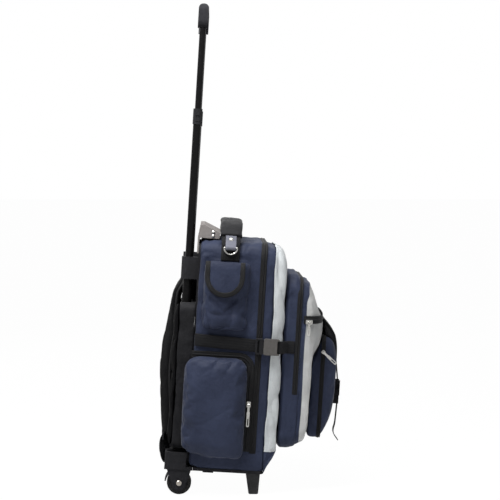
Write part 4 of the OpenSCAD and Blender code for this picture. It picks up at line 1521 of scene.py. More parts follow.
@dataclass
class SecondCompartment:
    """The compartment in front, with its zip, its swollen front in a darker silver that is partly painted shade, and
    the seam under its zip.

    Attributes:
        step_down: how far the front part's top lies under the back part's.
        navy_to: distance in front of the zip where the grey begins.
        flat: distance in front of the seam where the front lies flat.
        blend_rings: rings behind the grey's edge that take up its waver.
    """

    r_top: float = 38.0
    r_low: float = 28.0
    step_down: float = 14.0
    navy_to: float = 11.0
    flat: float = 25.0
    blend_rings: int = 4
    zip_band: ZipBand = ZipBand(11.0)
    side_folds: Wrinkles = Wrinkles(1.2, (80, 45, 60), 13.0, 2.4, (60, 34, 80), 14.0)
    front_folds: Wrinkles = Wrinkles(1.2, (50, 60, 40), 17.0, 2.4, (60, 50, 70), 18.0)

    def __post_init__(self) -> None:
        """Takes the sizes from the frame."""
        body, self.tape = BAG.box("second_compartment"), BAG.box("second_zip_tape")
        self.half, self.back_y, self.z1 = body.high
        self.seam_y, self.z0 = body.low[1:]
        self.zip_y = self.tape.middle[1]
        self.flat_y, self.swell_y = self.seam_y - self.flat, BAG.box("second_front_panel").low[1]

    def key(self, y: float, inset: float, low: float, high: float) -> Row:
        """Key section at a depth, drawn in at its sides, raised at its foot and lowered at its top."""
        half = self.half - inset
        return (y, -half, half, self.z0 + low, self.z1 - high, self.r_top, self.r_low)

    def build(self) -> None:
        """Makes both halves, the zip and the seam."""
        behind, ahead = self.tape.high[1], self.tape.low[1]
        keys = [self.key(self.back_y, 6, 6, 6), self.key(self.back_y - 6, 0, 0, 0), self.key(behind + 3, 0, 0, 0),
                self.key(behind, 0, 0.5, 1.5), self.key(ahead, 0, 4, self.step_down - 1),
                self.key(self.seam_y, 0.5, 6, self.step_down)]
        rings = key_rings(keys, [4, 8, 3, 6, 2], GRID, 1)
        body = piece("second_body", skin(rings, cap_first=8), NAVY, replaces=["second_compartment"],
                     move=self.wrinkle)
        self.front_panel()
        lay_zip("second_zip", self.zip_band, rings[ring_at(rings, self.zip_y)], self.tape.low[2])
        self.seams(body)

    def wrinkle(self, p: Array, n: Array) -> Array:
        """Relief of the side panels, with flat cloth under the zip."""
        return share_of(np.abs(p[:, 1] - self.zip_y) - 5, 9) * self.side_folds(p, n)

    def front_panel(self) -> None:
        """Makes the front that swells above and lies flat behind the pocket."""
        s0, s1 = self.z0 + 189, self.z1 - 46
        h, y, d = self.half, self.flat_y, self.flat_y - self.swell_y
        keys = [
            self.key(self.seam_y, 0.5, 6, self.step_down),
            self.key(y + 13, 0, 11, 17),
            (y + 6, -h, h, self.z0 + 17, s1 + 16, 36, 28),
            (y, -h + 3, h - 3, self.z0 + 31, s1 + 2, 34, 28),
            (y - 0.2, -h + 3, h - 3, s0, s1, 34, 30),
            (y - 0.41 * d, -h + 10, h - 10, s0 + 14, s1 - 20, 30, 30),
            (y - 0.77 * d, -h + 24, h - 24, s0 + 23, s1 - 37, 26, 26),
            (y - d, -h + 46, h - 46, s0 + 37, s1 - 45, 20, 20),
        ]
        rings = key_rings(keys, [8, 5, 5, 10, 5, 5, 5], GRID, 8)
        edge, spread = ring_at(rings, self.seam_y - self.navy_to), self.blend_rings
        notch = share_of(rings[edge, :, 2] - s1 + 12, 22)
        waver = 1.2 * lattice(rings[edge] / [60, 300, 45], 21.0)
        wanted = -self.navy_to + 3 - 5.5 * notch**2 * (3 - 2 * notch) + waver
        shift = self.seam_y + wanted - rings[edge, :, 1]
        for k in range(1, edge + spread):
            rings[k, :, 1] += shift * (k / edge if k <= edge else (edge + spread - k) / spread)
        navy_faces = edge * rings.shape[1]
        # The swell's darker silver is partly painted shade; its rim behind the edge is navy.
        piece("second_front", skin(rings, cap_last=8, crown=(0, -0.6, 0)), SWELL_GREY_WITH_PAINTED_SHADE, replaces=["second_front_panel"],
              extra=[NAVY], move=self.front_folds, paint=lambda c: np.arange(len(c)) < navy_faces)

    def seams(self, body: Object) -> None:
        """Level seam where the zip ends.

        Args:
            body: the compartment's body.
        """
        depths = np.linspace(self.back_y - 8, self.seam_y + 2, 12)
        paths = [np.array([[side.value * (self.half + 0.6), y, self.tape.low[2] - 5] for y in depths])
                 for side in Side]
        rows = [stitches(*laid_on(path, body), width=1.1) for path in paths]
        piece("second_seam_stitching", join(rows), THREAD_NAVY)


@dataclass
class FrontZip:
    """The zip that runs across the swell and round both of its corners, arched in the middle."""

    zip_band: ZipBand = ZipBand(16.0, 1.0, 2.0)
    arch: float = 5.0

    def build(self) -> None:
        """Lays the zip round the swell, a little higher in the middle."""
        panel = BAG.box("second_front_panel")
        z = BAG.box("front_pull").high[2] + 2.5
        h, y = panel.high[0] + 0.4, panel.high[1] - 24.7
        d = y - panel.low[1]
        left = [(-h, y + 22), (-h, y + 7), (-h + 2.6, y - 0.6), (-h + 10, y - 0.41 * d - 0.8),
                (-h + 24, y - 0.74 * d - 0.9), (-h + 48, y - 0.9 * d - 0.6), (-h + 90, y - 0.92 * d - 1.0)]
        flat = left + [(-a, b) for a, b in left[::-1]]
        path = smooth_path([(a, b, z + self.arch * (1 - (a / h) ** 2)) for a, b in flat], 150)
        out = facing(square_to(path, UP), -BACK)
        piece("front_zip", self.zip_band.along(path, UP, out), ZIP_TAPE, replaces=["front_zip_tapes"])


@dataclass
class FrontPocket:
    """The bellows pocket in front with its black band, padded flap, strap, and hanging tail.

    Attributes:
        swell: how far the pocket stands in front of its sewn edge at the top.
        binding: radius of the binding along the flap's sides.
    """

    swell: float = 19.5
    flap_half: float = 78.0
    binding: float = 1.9
    puff: float = 2.6
    strap: float = 26.0
    thick: float = 1.6
    zip_band: ZipBand = ZipBand(9.0, 1.3, 2.2)
    flap_folds: Wrinkles = Wrinkles(0.5, (35, 40, 30), 41.0, 1.2, (40, 30, 24), 43.0)

    def __post_init__(self) -> None:
        """Takes the sizes from the frame."""
        box = BAG.box("front_pocket")
        self.half, self.back_y, self.z1 = box.high
        self.front_y, self.z0 = box.low[1:]
        self.top_y = self.back_y + 0.3 - self.swell
        self.band_y = self.top_y - 4.6
        self.depth = self.back_y - self.front_y

    def key(self, y: float, inset: float, low: float, high: float, r: float) -> Row:
        """Key section of the pocket at a depth, drawn in, raised at its foot and lowered at its top."""
        return (y, -self.half + inset, self.half - inset, self.z0 + low, self.z1 - high, r, r)

    def build(self) -> None:
        """Makes the pocket, band, flap, strap and tail."""
        y, d = self.front_y, self.depth
        keys = [self.key(self.back_y, 0, 0, 46, 14), self.key(self.back_y + 0.3 - self.swell * 0.43, 0, 0, 32, 14),
                self.key(self.top_y - 0.5, 0, 0, 12, 14), self.key(self.top_y - 2.1, 0, 0, 0, 14),
                self.key(y + 0.49 * d, 0, 1, 0, 16), self.key(y + 0.33 * d, 0, 14, 1, 18),
                self.key(y + 0.18 * d, 0, 32, 6, 20), self.key(y + 0.05 * d, 5, 58, 18, 22),
                self.key(y, 13, 82, 30, 24)]
        rings = key_rings(keys, [4, 4, 2, 3, 5, 5, 5, 5], POCKET_GRID)
        piece("front_pocket_shell", skin(rings, cap_first=4, cap_last=8, crown=(0, -1.0, 0)), NAVY,
              replaces=["front_pocket"], move=self.wrinkle, soft=Softening(5.0, CLOTH_SIDES, self.held))
        self.trim(rings[ring_at(rings, self.band_y)])
        self.padded_flap()
        self.straps()
        self.tail()

    def held(self, p: Array) -> Array:
        """Holds the pocket where it is sewn on and along its band."""
        return hold((self.back_y - p[:, 1], 10.0), (np.abs(p[:, 1] - self.band_y), 7.0))

    def wrinkle(self, p: Array, n: Array) -> Array:
        """Deep folds in the bellows, gentle ones in front."""
        bellows = share_of(p[:, 1] - self.band_y, 14)
        return 2.4 * bellows * creases(p, (40, 26, 30), 31.0) + 0.7 * folds(p, (50, 40, 45), 33.0)

    def trim(self, ring: Array) -> None:
        """Black band with its zip round a section of the pocket."""
        loop, out = [np.vstack([rows, rows[:1]]) for rows in (ring, ring_out(ring))]
        piece("pocket_band", self.zip_band.along(loop, BACK, out), ZIP_TAPE)

    def padded_flap(self) -> None:
        """Padded flap that slopes over the pocket, with bound sides."""
        a, b, t = 1.6 - self.top_y, -self.front_y, self.z1
        line = [(a + 0.2, t + 36), (a + 3.6, t + 32.5), (a + 10, t + 25), (a + 19, t + 14), (b - 4, t + 2),
                (b, t - 16), (b + 1.4, t - 34), (b + 1.4, t - 68)]
        path = fore_path(line, 44)
        out = facing(square_to(path, ACROSS), -BACK)[:, None]
        xs, along = np.linspace(-self.flap_half, self.flap_half, 40), np.linspace(0, 1, len(path))
        puff = self.puff * np.outer(1 - np.abs(2 * along - 1) ** 5, 1 - np.abs(xs / self.flap_half) ** 6)
        fill = 2.0 + 15.0 * bell(along - 0.32, 0.2)
        middle = path[:, None] + xs[:, None] * ACROSS
        top, under = middle + out * puff[..., None], middle - out * fill[:, None, None]
        mesh = skin(np.concatenate([top, under[:, ::-1]], axis=1), flat_ends=True)
        obj = piece("pocket_flap", mesh, LINING, replaces=["front_flap"], move=self.flap_folds)
        sides = [tube(even(middle[:, k], 50), self.binding) for k in (0, -1)]
        piece("flap_binding", join(sides), BINDING)

    def straps(self) -> None:
        """Strap from the flap to the buckle, and strap from the buckle to the pocket's foot."""
        socket = BAG.box("front_buckle_socket")
        b, t, d, foot = -self.front_y, self.z1, self.depth, self.z0
        f, z0, z1 = -socket.high[1] - 2.0, socket.low[2], socket.high[2]
        upper = [(b - 2.3, t + 4.4), (b + 3.3, t - 17.6), (b + 4.3, t - 34), (f + 7.5, z1 + 6), (f + 7.5, z1 - 5)]
        lower = [(f + 3.3, z0 - 1), (f + 1.8, z0 - 8), (b - 0.18 * d + 3.6, foot + 34),
                 (b - 0.33 * d + 3.6, foot + 14), (b - 0.45 * d + 2, foot - 0.6), (b - 0.6 * d, foot - 1.4)]
        parts = [ribbon(fore_path(line, n), ACROSS, self.strap, self.thick) for line, n in ((upper, 40), (lower, 48))]
        piece("front_webbing", join(parts), STRAP, replaces=["front_strap"])

    def tail(self) -> None:
        """The tail that hangs from the plug."""
        box, f = BAG.box("front_strap_tail"), -BAG.box("front_buckle_socket").high[1] - 2.0
        ahead, down = (10, 9.2, 8, 5.4, 7.4, 16.6), (0, 0.25, 0.53, 0.7, 0.83, 0.985)
        path = fore_path([(f + a, box.high[2] - box.size[2] * q) for a, q in zip(ahead, down)], 40)
        width = box.size[0] - 1
        obj = piece("front_tail", ribbon(path, ACROSS, width, self.thick), STRAP, body="front_plug",
                    replaces=["front_strap_tail"])


def to_segment(points: Array, a: Row, b: Row) -> Array:
    """Distance of points from a stretch of line.

    Args:
        points: rows of points.
        a: start of the stretch.
        b: its end.

    Returns:
        One distance per row.
    """
    start, way = np.array(a), np.array(b) - np.array(a)
    t = np.clip((points - start) @ way / (way @ way), 0, 1)
    return np.linalg.norm(points - start - t[:, None] * way, axis=1)


@dataclass
class SidePouch:
    """What both kinds of side pocket share: a shell that stands out from the side panel."""

    def measure(self, node: str) -> None:
        """Takes the pocket's sizes from the frame.

        Args:
            node: CAD node of both pockets; the left one is the right one's mirror.
        """
        box = BAG.box(node)
        self.base = BAG.box("main_compartment").high[0] + 0.3
        self.depth = box.high[0] - self.base
        (self.y0, self.z0), (self.y1, self.z1) = box.low[1:], box.high[1:]

    def on_left(self, rings: Array) -> Array:
        """Turns rings of forward, out and up into the left side's x, y and z."""
        return np.stack([-self.base - rings[..., 1], -rings[..., 0], rings[..., 2]], axis=-1)

    def out(self, p: Array) -> Array:
        """Distance of points from the side panel."""
        return np.abs(p[:, 0]) - self.base


@dataclass
class SidePockets(SidePouch):
    """The lower side pockets and the zip bands in front of and above them.

    Attributes:
        gusset: depth of the side wall before the face rolls over.
        turn: radius of the zip's turn.
    """

    r_top: float = 26.0
    r_low: float = 16.0
    gusset: float = 17.0
    turn: float = 24.0
    zip_band: ZipBand = ZipBand(15.5, 1.2, 1.8)

    def __post_init__(self) -> None:
        """Takes the sizes from the frame."""
        self.measure("side_pockets")
        self.tape = BAG.box("side_zip_tapes")

    def key(self, out: float, inset: float) -> Row:
        """Key section at a distance out from the side panel; the outline lies in forward and up."""
        return (out, -self.y1 + inset, -self.y0 - inset, self.z0 - 3 + inset, self.z1 - inset, self.r_top, self.r_low)

    def build(self) -> None:
        """Makes both pockets with their zips."""
        d = self.depth
        keys = [self.key(*row) for row in ((-3, 0), (self.gusset, -0.6), (d - 11, 0.8), (d - 5.5, 4.5),
                                           (d - 3.2, 11), (d - 2.6, 22))]
        rings = key_rings(keys, [5, 4, 4, 4, 4], POCKET_GRID)
        behind = np.clip(1 - (rings[..., 0] + self.y1) / 60, 0, 1)
        rings[..., 2] += 12 * (behind * np.clip(1 - (rings[..., 2] - self.z0) / 50, 0, 1))
        shell = skin(self.on_left(rings), cap_first=4, cap_last=11)
        for side in Side:
            side_piece("side_pocket_{}_shell", shell, side, NAVY, "side_pockets", move=self.wrinkle,
                       soft=Softening(4.5, CLOTH_POCKET, self.held))
            self.zip(side)

    def held(self, p: Array) -> Array:
        """Holds the pocket at the side panel."""
        return hold((self.out(p) - 4, 16.0))

    def wrinkle(self, p: Array, n: Array) -> Array:
        """Puckers under the top edge and at the rear foot, and a belly that hangs low.

        Args:
            p: points in the bag's frame.
            n: their normals; not used.

        Returns:
            Each point's shift.
        """
        y, z = p[:, 1], p[:, 2]
        rear = bell(y - self.y1 + 6, 26) * bell(z - self.z0 - 26, 34)
        belly = 3.0 * bell(z - self.z0 - 62, 60)
        pucker = 4.0 * bell(z - self.z1 + 8, 26) * creases(p, (60, 24, 60), 53.0)
        pucker += 6.0 * rear * creases(p, (60, 44, 26), 55.0)
        relief = 1.4 * folds(p, (60, 60, 70), 51.0) + 2.0 * creases(p, (80, 70, 90), 57.0) + belly
        return share_of(self.out(p) - 20, 10) * relief + pucker

    def zip(self, side: Side) -> None:
        """Zip band up the front of the pocket and back over its top.

        Args:
            side: the pocket's side.
        """
        ahead, top, r = -self.tape.low[1] - 7.0, self.tape.high[2] - 6.7, self.turn
        flat = [(ahead, z) for z in np.linspace(self.z0 + 10, top - r - 4, 34)]
        flat += [(ahead - r + r * math.cos(a), top - r + r * math.sin(a)) for a in np.linspace(0, math.pi / 2, 14)]
        flat += [(w, top) for w in np.linspace(ahead - r - 4, -self.y1 + 12, 24)]
        path = even(np.array([(-self.base - 1.0, -w, z) for w, z in flat]), 90)
        mesh = self.zip_band.along(path, square_to(path, -ACROSS), -ACROSS)
        side_piece("side_zip_{}", mesh, side, ZIP_TAPE, "side_zip_tapes")


@dataclass
class PhonePockets(SidePouch):
    """The upper side pockets with their bound U-shaped lids.

    Attributes:
        binding: width of the lid's binding.
        sewn: length at the lid's sewn edge; no bend is made from it.
    """

    binding: float = 10.0
    bind_thick: float = 3.0
    sewn: float = 14.0
    lid_folds: Wrinkles = Wrinkles(0.6, (30, 30, 30), 71.0)

    def __post_init__(self) -> None:
        """Takes the sizes from the frame, with the lid's middle, half width, top and start of its round foot."""
        self.measure("phone_pockets")
        self.mid, self.half = -(self.y0 + self.y1) / 2, (self.y1 - self.y0) / 2 - 2
        self.top, self.drop = self.z1 - 1.0, self.z1 - 32.0

    def key(self, out: float, inset: float, top: float, slope: float) -> Row:
        """Key section at a distance out from the side panel; its front slopes back."""
        return (out, -self.y1 + inset, -self.y0 + 12 - inset - slope, self.z0 + inset, self.z1 - top, 12.0, 14.0)

    def build(self) -> None:
        """Makes both pockets and lids."""
        d = self.depth
        keys = [self.key(*row) for row in ((-3, 0, 0, 0), (d - 14, 0, 1, 9), (d - 7, 2, 2, 18), (d - 3.5, 6, 5, 22),
                                           (d - 2.4, 13, 10, 24))]
        shell = skin(self.on_left(key_rings(keys, [5, 4, 4, 4], POCKET_GRID)), cap_first=4, cap_last=9)
        for side in Side:
            side_piece("phone_pocket_{}_shell", shell, side, NAVY, "phone_pockets", move=self.wrinkle,
                       soft=Softening(4.5, CLOTH_SIDES, self.held))
            self.lid(side)

    def held(self, p: Array) -> Array:
        """Holds the pocket at the side panel and under its lid."""
        return hold((self.out(p), 8.0), (self.z1 - 40 - p[:, 2], 30.0))

    def wrinkle(self, p: Array, n: Array) -> Array:
        """Folds that fall from the lid and creases at the foot, with nothing under the lid itself.

        Args:
            p: points in the bag's frame.
            n: their normals; not used.

        Returns:
            Each point's shift.
        """
        free = share_of(self.z1 - 56 - p[:, 2], 20)
        fall = creases(p, (30, 26, 90), 61.0) + 0.7 * creases(p, (40, 60, 30), 63.0)
        mid, level = -self.mid, self.z1 - 76
        reach = [to_segment(p[:, 1:], (mid + a, level), (mid - 4, level - 28)) for a in (27, -27)]
        fall = fall - 0.8 * bell(np.minimum(*reach), 4.5)
        relief = 5.0 * fall + 1.4 * folds(p, (40, 36, 60), 65.0)
        return free * relief + 1.6 * (1 - free) * creases(p, (30, 22, 60), 67.0)

    def lid_points(self, flat: Array, inward: float, lift: float = 0.0) -> Array:
        """Puts points of the lid's outline on its swollen face.

        Args:
            flat: rows of forward and up.
            inward: their share of the way from the rim to the lid's spine.
            lift: how far they lie over the face.

        Returns:
            Rows of x, y and z on the left side.
        """
        w, z = flat.T
        fall = share_of(z - self.top + 16, 16)
        side_fall = share_of(np.abs(w - self.mid) - self.half + 14, 14)
        hang = share_of(self.top - z, self.top - self.drop + self.half)
        out = self.depth - 3.0 + 7.5 * hang + 2.2 * inward - 4.0 * fall**2 - 2.2 * side_fall**2
        return np.stack([-self.base - out - lift, -w, z], axis=1)

    def lid(self, side: Side) -> None:
        """U-shaped lid with a flat binding round its edge.

        Args:
            side: the lid's side.
        """
        mid, half, top, drop = self.mid, self.half, self.top, self.drop
        edge = [(mid + half, z) for z in np.linspace(top, drop, 12, endpoint=False)]
        edge += [(mid + half * math.cos(a), drop - half * math.sin(a)) for a in np.linspace(0, math.pi, 34)]
        edge += [(mid - half, z) for z in np.linspace(drop, top, 13)[1:]]
        rim = even(np.array(edge), 74)
        spine = np.stack([np.full(len(rim), mid), np.maximum(rim[:, 1], drop)], axis=1)
        rows = [self.lid_points(rim * (1 - t) + spine * t, t) for t in np.linspace(0, 1, 14)]
        lid = side_piece("phone_lid_{}", grid_mesh(np.array(rows)), side, NAVY, "phone_flap_{}", ride=False,
                         move=self.lid_folds)
        path = self.lid_points(rim + unit(spine - rim) * self.binding * 0.5, 0.15, 0.5)
        across = square_to(path, -ACROSS)[np.linspace(0, len(path) - 1, 90).astype(int)]
        band = ribbon(even(path, 90), across, self.binding, self.bind_thick)
        bind = side_piece("phone_lid_{}_binding", band, side, BINDING, ride=False)
        x = side.value * (self.base + self.depth)
        start, end = BAG.to_world(np.array([[x, 80, top], [x, 80, top - self.sewn]]))
        for obj in (lid, bind):
            f"lid_{side.label}"
            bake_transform(obj)


@dataclass
class SideStraps:
    """Compression straps: webbing from the back edge through the plug, and the tab that holds the socket.

    Attributes:
        rise: how much higher the back end lies.
        travel: how far a released plug comes back; not used.
    """

    width: float = 26.0
    thick: float = 1.7
    rise: float = 6.0
    travel: float = 26.0

    def build(self) -> None:
        """Makes both straps."""
        socket, back = BAG.box("side_buckle_sockets"), BAG.box("side_straps").high[1]
        front, plug, z = socket.low[1], socket.high[1], socket.middle[2]
        base, second = BAG.box("main_compartment").high[0], BAG.box("second_compartment").high[0]
        rear = [(base + 1.2, back), (base + 4.4, back - 14), (base + 5.1, back - 40), (base + 5.1, plug + 1.0)]
        tab = [(base + 9.9, front + 4.5), (base + 9.6, front - 1), (base + 7, front - 6), (base - 2, front - 11),
               (second + 3.4, front - 15), (second + 1.4, front - 18), (second + 1.3, front - 31)]
        webbing, holder = [ribbon(self.path(line, z, plug, back, n), UP, self.width, self.thick)
                           for line, n in ((rear, 60), (tab, 40))]
        anchor = tuple(BAG.to_world(np.array([0, back, z])))
        for side in Side:
            obj = side_piece("side_webbing_{}", webbing, side, STRAP, "side_straps")
            f"side_buckle_{side.label}_release"
            tuple(BAG.turn()[:, 1])
            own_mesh(obj)
            side_piece("side_tab_{}", holder, side, STRAP)

    def path(self, line: Sequence[Row], z: float, plug: float, back: float, count: int) -> Array:
        """Middle line through pairs of distance out and depth, rising from height z between plug and back."""
        return smooth_path([(-x, y, z + self.rise * max(0.0, y - plug) / (back - plug)) for x, y in line], count)


@dataclass
class BackPanel:
    """Padded back: fabric gusset round the tubes, channelled lumbar pad, and the yoke.

    Attributes:
        channels: sewn channels across the lumbar pad.
        groove: depth of a channel.
        clearance: gap round the handle tubes.
    """

    channels: int = 4
    groove: float = 4.0
    clearance: float = 0.5
    yoke_half: float = 76.0
    gusset_folds: Wrinkles = Wrinkles(1.2, (60, 30, 48), 81.0, 2.4, (60, 34, 60), 82.0)
    yoke_folds: Wrinkles = Wrinkles(0.5, (40, 30, 30), 87.0)

    def __post_init__(self) -> None:
        """Takes the sizes from the frame."""
        shell, self.pads = BAG.box("back_shell"), BAG.box("back_pads")
        self.half, self.rear_y, self.z1 = shell.high
        self.front_y, self.z0 = shell.low[1:]
        self.pad_y = self.rear_y + 0.8
        self.pad_thick = self.pads.high[1] - self.pad_y
        self.pitch = (self.z1 - self.z0) / self.channels

    def key(self, y: float, inset: float, shrink: float, r: float) -> Row:
        """Key section at a depth, drawn in at its sides and at its top and foot."""
        half = self.half - inset
        return (y, -half, half, self.z0 + shrink, self.z1 - shrink, r, r)

    def build(self) -> None:
        """Makes the gusset and both pads."""
        keys = [self.key(self.front_y, 0, 0, 16), self.key(self.front_y + 6, -1, 0, 16),
                self.key(self.rear_y - 6, -1, 0, 16), self.key(self.rear_y + 0.5, 0, 1, 16)]
        rings = key_rings(keys, [3, 8, 3], GRID, 1)
        gusset = piece("back_gusset", skin(rings, cap_first=6, cap_last=6), LINING, replaces=["back_shell"],
                       move=self.gusset_folds)
        self.tube_channels(gusset)
        self.lumbar()
        self.yoke()

    def tube_channels(self, gusset: Object) -> None:
        """Opens the gusset round both handle tubes, so that they slide down through it.

        Args:
            gusset: the gusset.
        """
        tubes = BAG.box("outer_tubes")
        r = tubes.size[1] / 2
        ends = np.array([[r - tubes.high[0], tubes.middle[1], z] for z in (self.z0 - 20, self.z1 + 20)])
        run = tube(ends, r + self.clearance, 28)
        cutter = solid("channels", run.joined(run.mirrored()))
        apply_modifier(gusset, "BOOLEAN", object=cutter, operation="DIFFERENCE", solver="EXACT")
        bpy.data.objects.remove(cutter)

    def to_channel(self, p: Array) -> Array:
        """Distance of points from the nearest channel."""
        return np.abs(((p[:, 2] - self.z0) / self.pitch + 0.5) % 1 - 0.5) * self.pitch

    def channel(self, p: Array, n: Array) -> Array:
        """Sewn channels across the pad's rear face.

        Args:
            p: points in the bag's frame.
            n: their normals.

        Returns:
            Each point's shift.
        """
        edge = share_of(self.half - np.abs(p[:, 0]), 30)
        inside = np.abs(p[:, 2] - (self.z0 + self.z1) / 2) < (self.z1 - self.z0) / 2 - 20
        sewn = self.groove * edge * inside * bell(self.to_channel(p), 5.0)
        return np.clip(n[:, 1], 0, 1) * (0.5 * folds(p, (40, 40, 40), 83.0) - sewn)

    def held(self, p: Array) -> Array:
        """Holds the pad at its rim and along the channels."""
        return hold((self.to_channel(p), 9.0), (p[:, 1] - self.pad_y - 0.3 * self.pad_thick, 4.0))

    def lumbar(self) -> None:
        """Lumbar pad with sewn channels across it."""
        y, t = self.pad_y, self.pad_thick
        keys = [self.key(y, 3, 2, 16), self.key(y + 0.3 * t, 0, 0, 18), self.key(y + 0.62 * t, 3, 3, 18),
                self.key(y + 0.9 * t, 11, 10, 18)]
        obj = piece("lumbar_pad", skin(key_rings(keys, [3, 4, 4], GRID, 1), cap_first=5, cap_last=26), AIR_MESH,
                    replaces=["back_pads"], move=self.channel, soft=Softening(6.0, CLOTH_PAD, self.held))

    def yoke(self) -> None:
        """Upper pad that the shoulder straps are sewn to."""
        y, z0, z1 = BAG.box("frame_board").high[1], self.z1 + 3, self.pads.high[2]
        keys = [(y + a, b - self.yoke_half, self.yoke_half - b, z0 + b, z1 - b, r, r)
                for a, b, r in ((0, 2, 12), (5, 0, 14), (12, 0, 14), (16, 6, 14))]
        mesh = skin(key_rings(keys, [3, 4, 4], POCKET_GRID, 1), cap_first=4, cap_last=6, crown=BACK)
        obj = piece("yoke_pad", mesh, AIR_MESH, subdivide=1, move=self.yoke_folds)


@dataclass
class ShoulderStraps:
    """Padded shoulder straps with bound edges, ladder locks and the lower webbing.

    Attributes:
        taper: share of the width lost at the foot.
        tilt: how far the outer edge leans towards the back.
        swell: share by which the padding thickens below the yoke.
        inward: how far the top lies further in than the foot.
        lock_half: half of the ladder lock's height.
        lock_bar: radius of its bars.
        binding: radius of the binding along the pads.
        twist_deg: how far the lower webbing twists on its way down.
    """

    width: float = 62.0
    taper: float = 0.32
    thick: float = 14.0
    tilt: float = 18.0
    swell: float = 0.35
    inward: float = 54.0
    lock_width: float = 30.0
    lock_half: float = 6.0
    lock_bar: float = 1.9
    binding: float = 2.2
    webbing: float = 24.0
    web_thick: float = 1.7
    twist_deg: float = 62.0
    tube_radius: float = 9.86
    pad_folds: Wrinkles = Wrinkles(0.7, (30, 30, 34), 91.0, 1.6, (40, 30, 40), 93.0)

    def path(self) -> Array:
        """Middle line of the left strap, from the yoke down.

        Returns:
            The path.
        """
        board, top = BAG.box("frame_board").high[1], BAG.box("back_shell").high[2]
        line = [(22.4, 54), (29.5, 36), (41.5, 10), (54, -44), (60.5, -84), (63, -130), (60.5, -184), (55, -236),
                (50, -274)]
        foot = self.tube_radius - BAG.box("outer_tubes").high[0]
        n = len(line) - 1
        return smooth_path([(foot + self.inward - self.inward * i / n, board + a, top + b)
                            for i, (a, b) in enumerate(line)], 72)

    def build(self) -> None:
        """Makes both straps with locks and webbing."""
        path = self.path()
        rings, left, right = [], [], []
        for p, o, f in zip(path, facing(square_to(path, ACROSS), BACK), np.linspace(0, 1, len(path))):
            end = min(1.0, 0.86 + 6 * min(f, 1 - f))
            half = self.width / 2 * end * (1 - self.taper * f * f)
            edge = -self.tilt * share_of(f - 0.12, 0.25) * share_of(1.15 - f, 0.3) * o
            fat = end * (1 + self.swell * bell(f - 0.15, 0.1))
            u, v = pad_section(half, self.thick / 2 * fat, 0.5, 0.75)
            rings.append(p + np.outer(u, ACROSS) + np.outer(v, o) + np.outer((half - u) / (2 * half), edge))
            left.append(p - half * ACROSS + edge)
            right.append(p + half * ACROSS)
        body = skin(np.array(rings), cap_first=3, cap_last=3)
        rims = join([tube(np.array(rim), self.binding) for rim in (left, right)])
        for side in Side:
            obj = side_piece("shoulder_pad_{}", body, side, AIR_MESH, "shoulder_strap_{}", move=self.pad_folds)
            side_piece("shoulder_binding_{}", rims, side, BINDING)
            self.lower(path[-1], side)

    def lower(self, tip: Array, side: Side) -> None:
        """Ladder lock at the strap's foot and the webbing down to the wheel housing.

        Args:
            tip: the strap's lower end, on the left.
            side: the strap's side.
        """
        x, y, z = tip
        y1, z1 = BAG.box("wheel_housing_left").high[1] + 1.2, BAG.box("strap_adjusters").low[2]
        line = [(y, z - 0.3), (y - 1.5, z - 10), (y1 + 1.2, z1 + 24), (y1, z1 + 17), (y1, z1)]
        path = smooth_path([(x, a, b) for a, b in line], 40)
        twist = np.radians(self.twist_deg) * np.sin(np.linspace(0, math.pi, len(path))) ** 0.7
        across = np.stack([np.cos(twist), -np.sin(twist), np.zeros(len(path))], axis=1)
        mesh = ribbon(path, across, self.webbing, self.web_thick)
        side_piece("lower_webbing_{}", mesh, side, STRAP, "strap_adjusters")
        a, b = self.lock_width / 2, self.lock_half
        corners = [(-a, -b), (a, -b), (a, b), (-a, b)]
        bars = [*zip(corners, corners[1:] + corners[:1]), ((-a, 0), (a, 0))]
        ends = [np.array([[x + u, y + 0.6, z - b + v] for u, v in bar]) for bar in bars]
        lock = join([tube(even(bar, 8), self.lock_bar, 10) for bar in ends])
        side_piece("ladder_lock_{}", lock, side, PLASTIC)


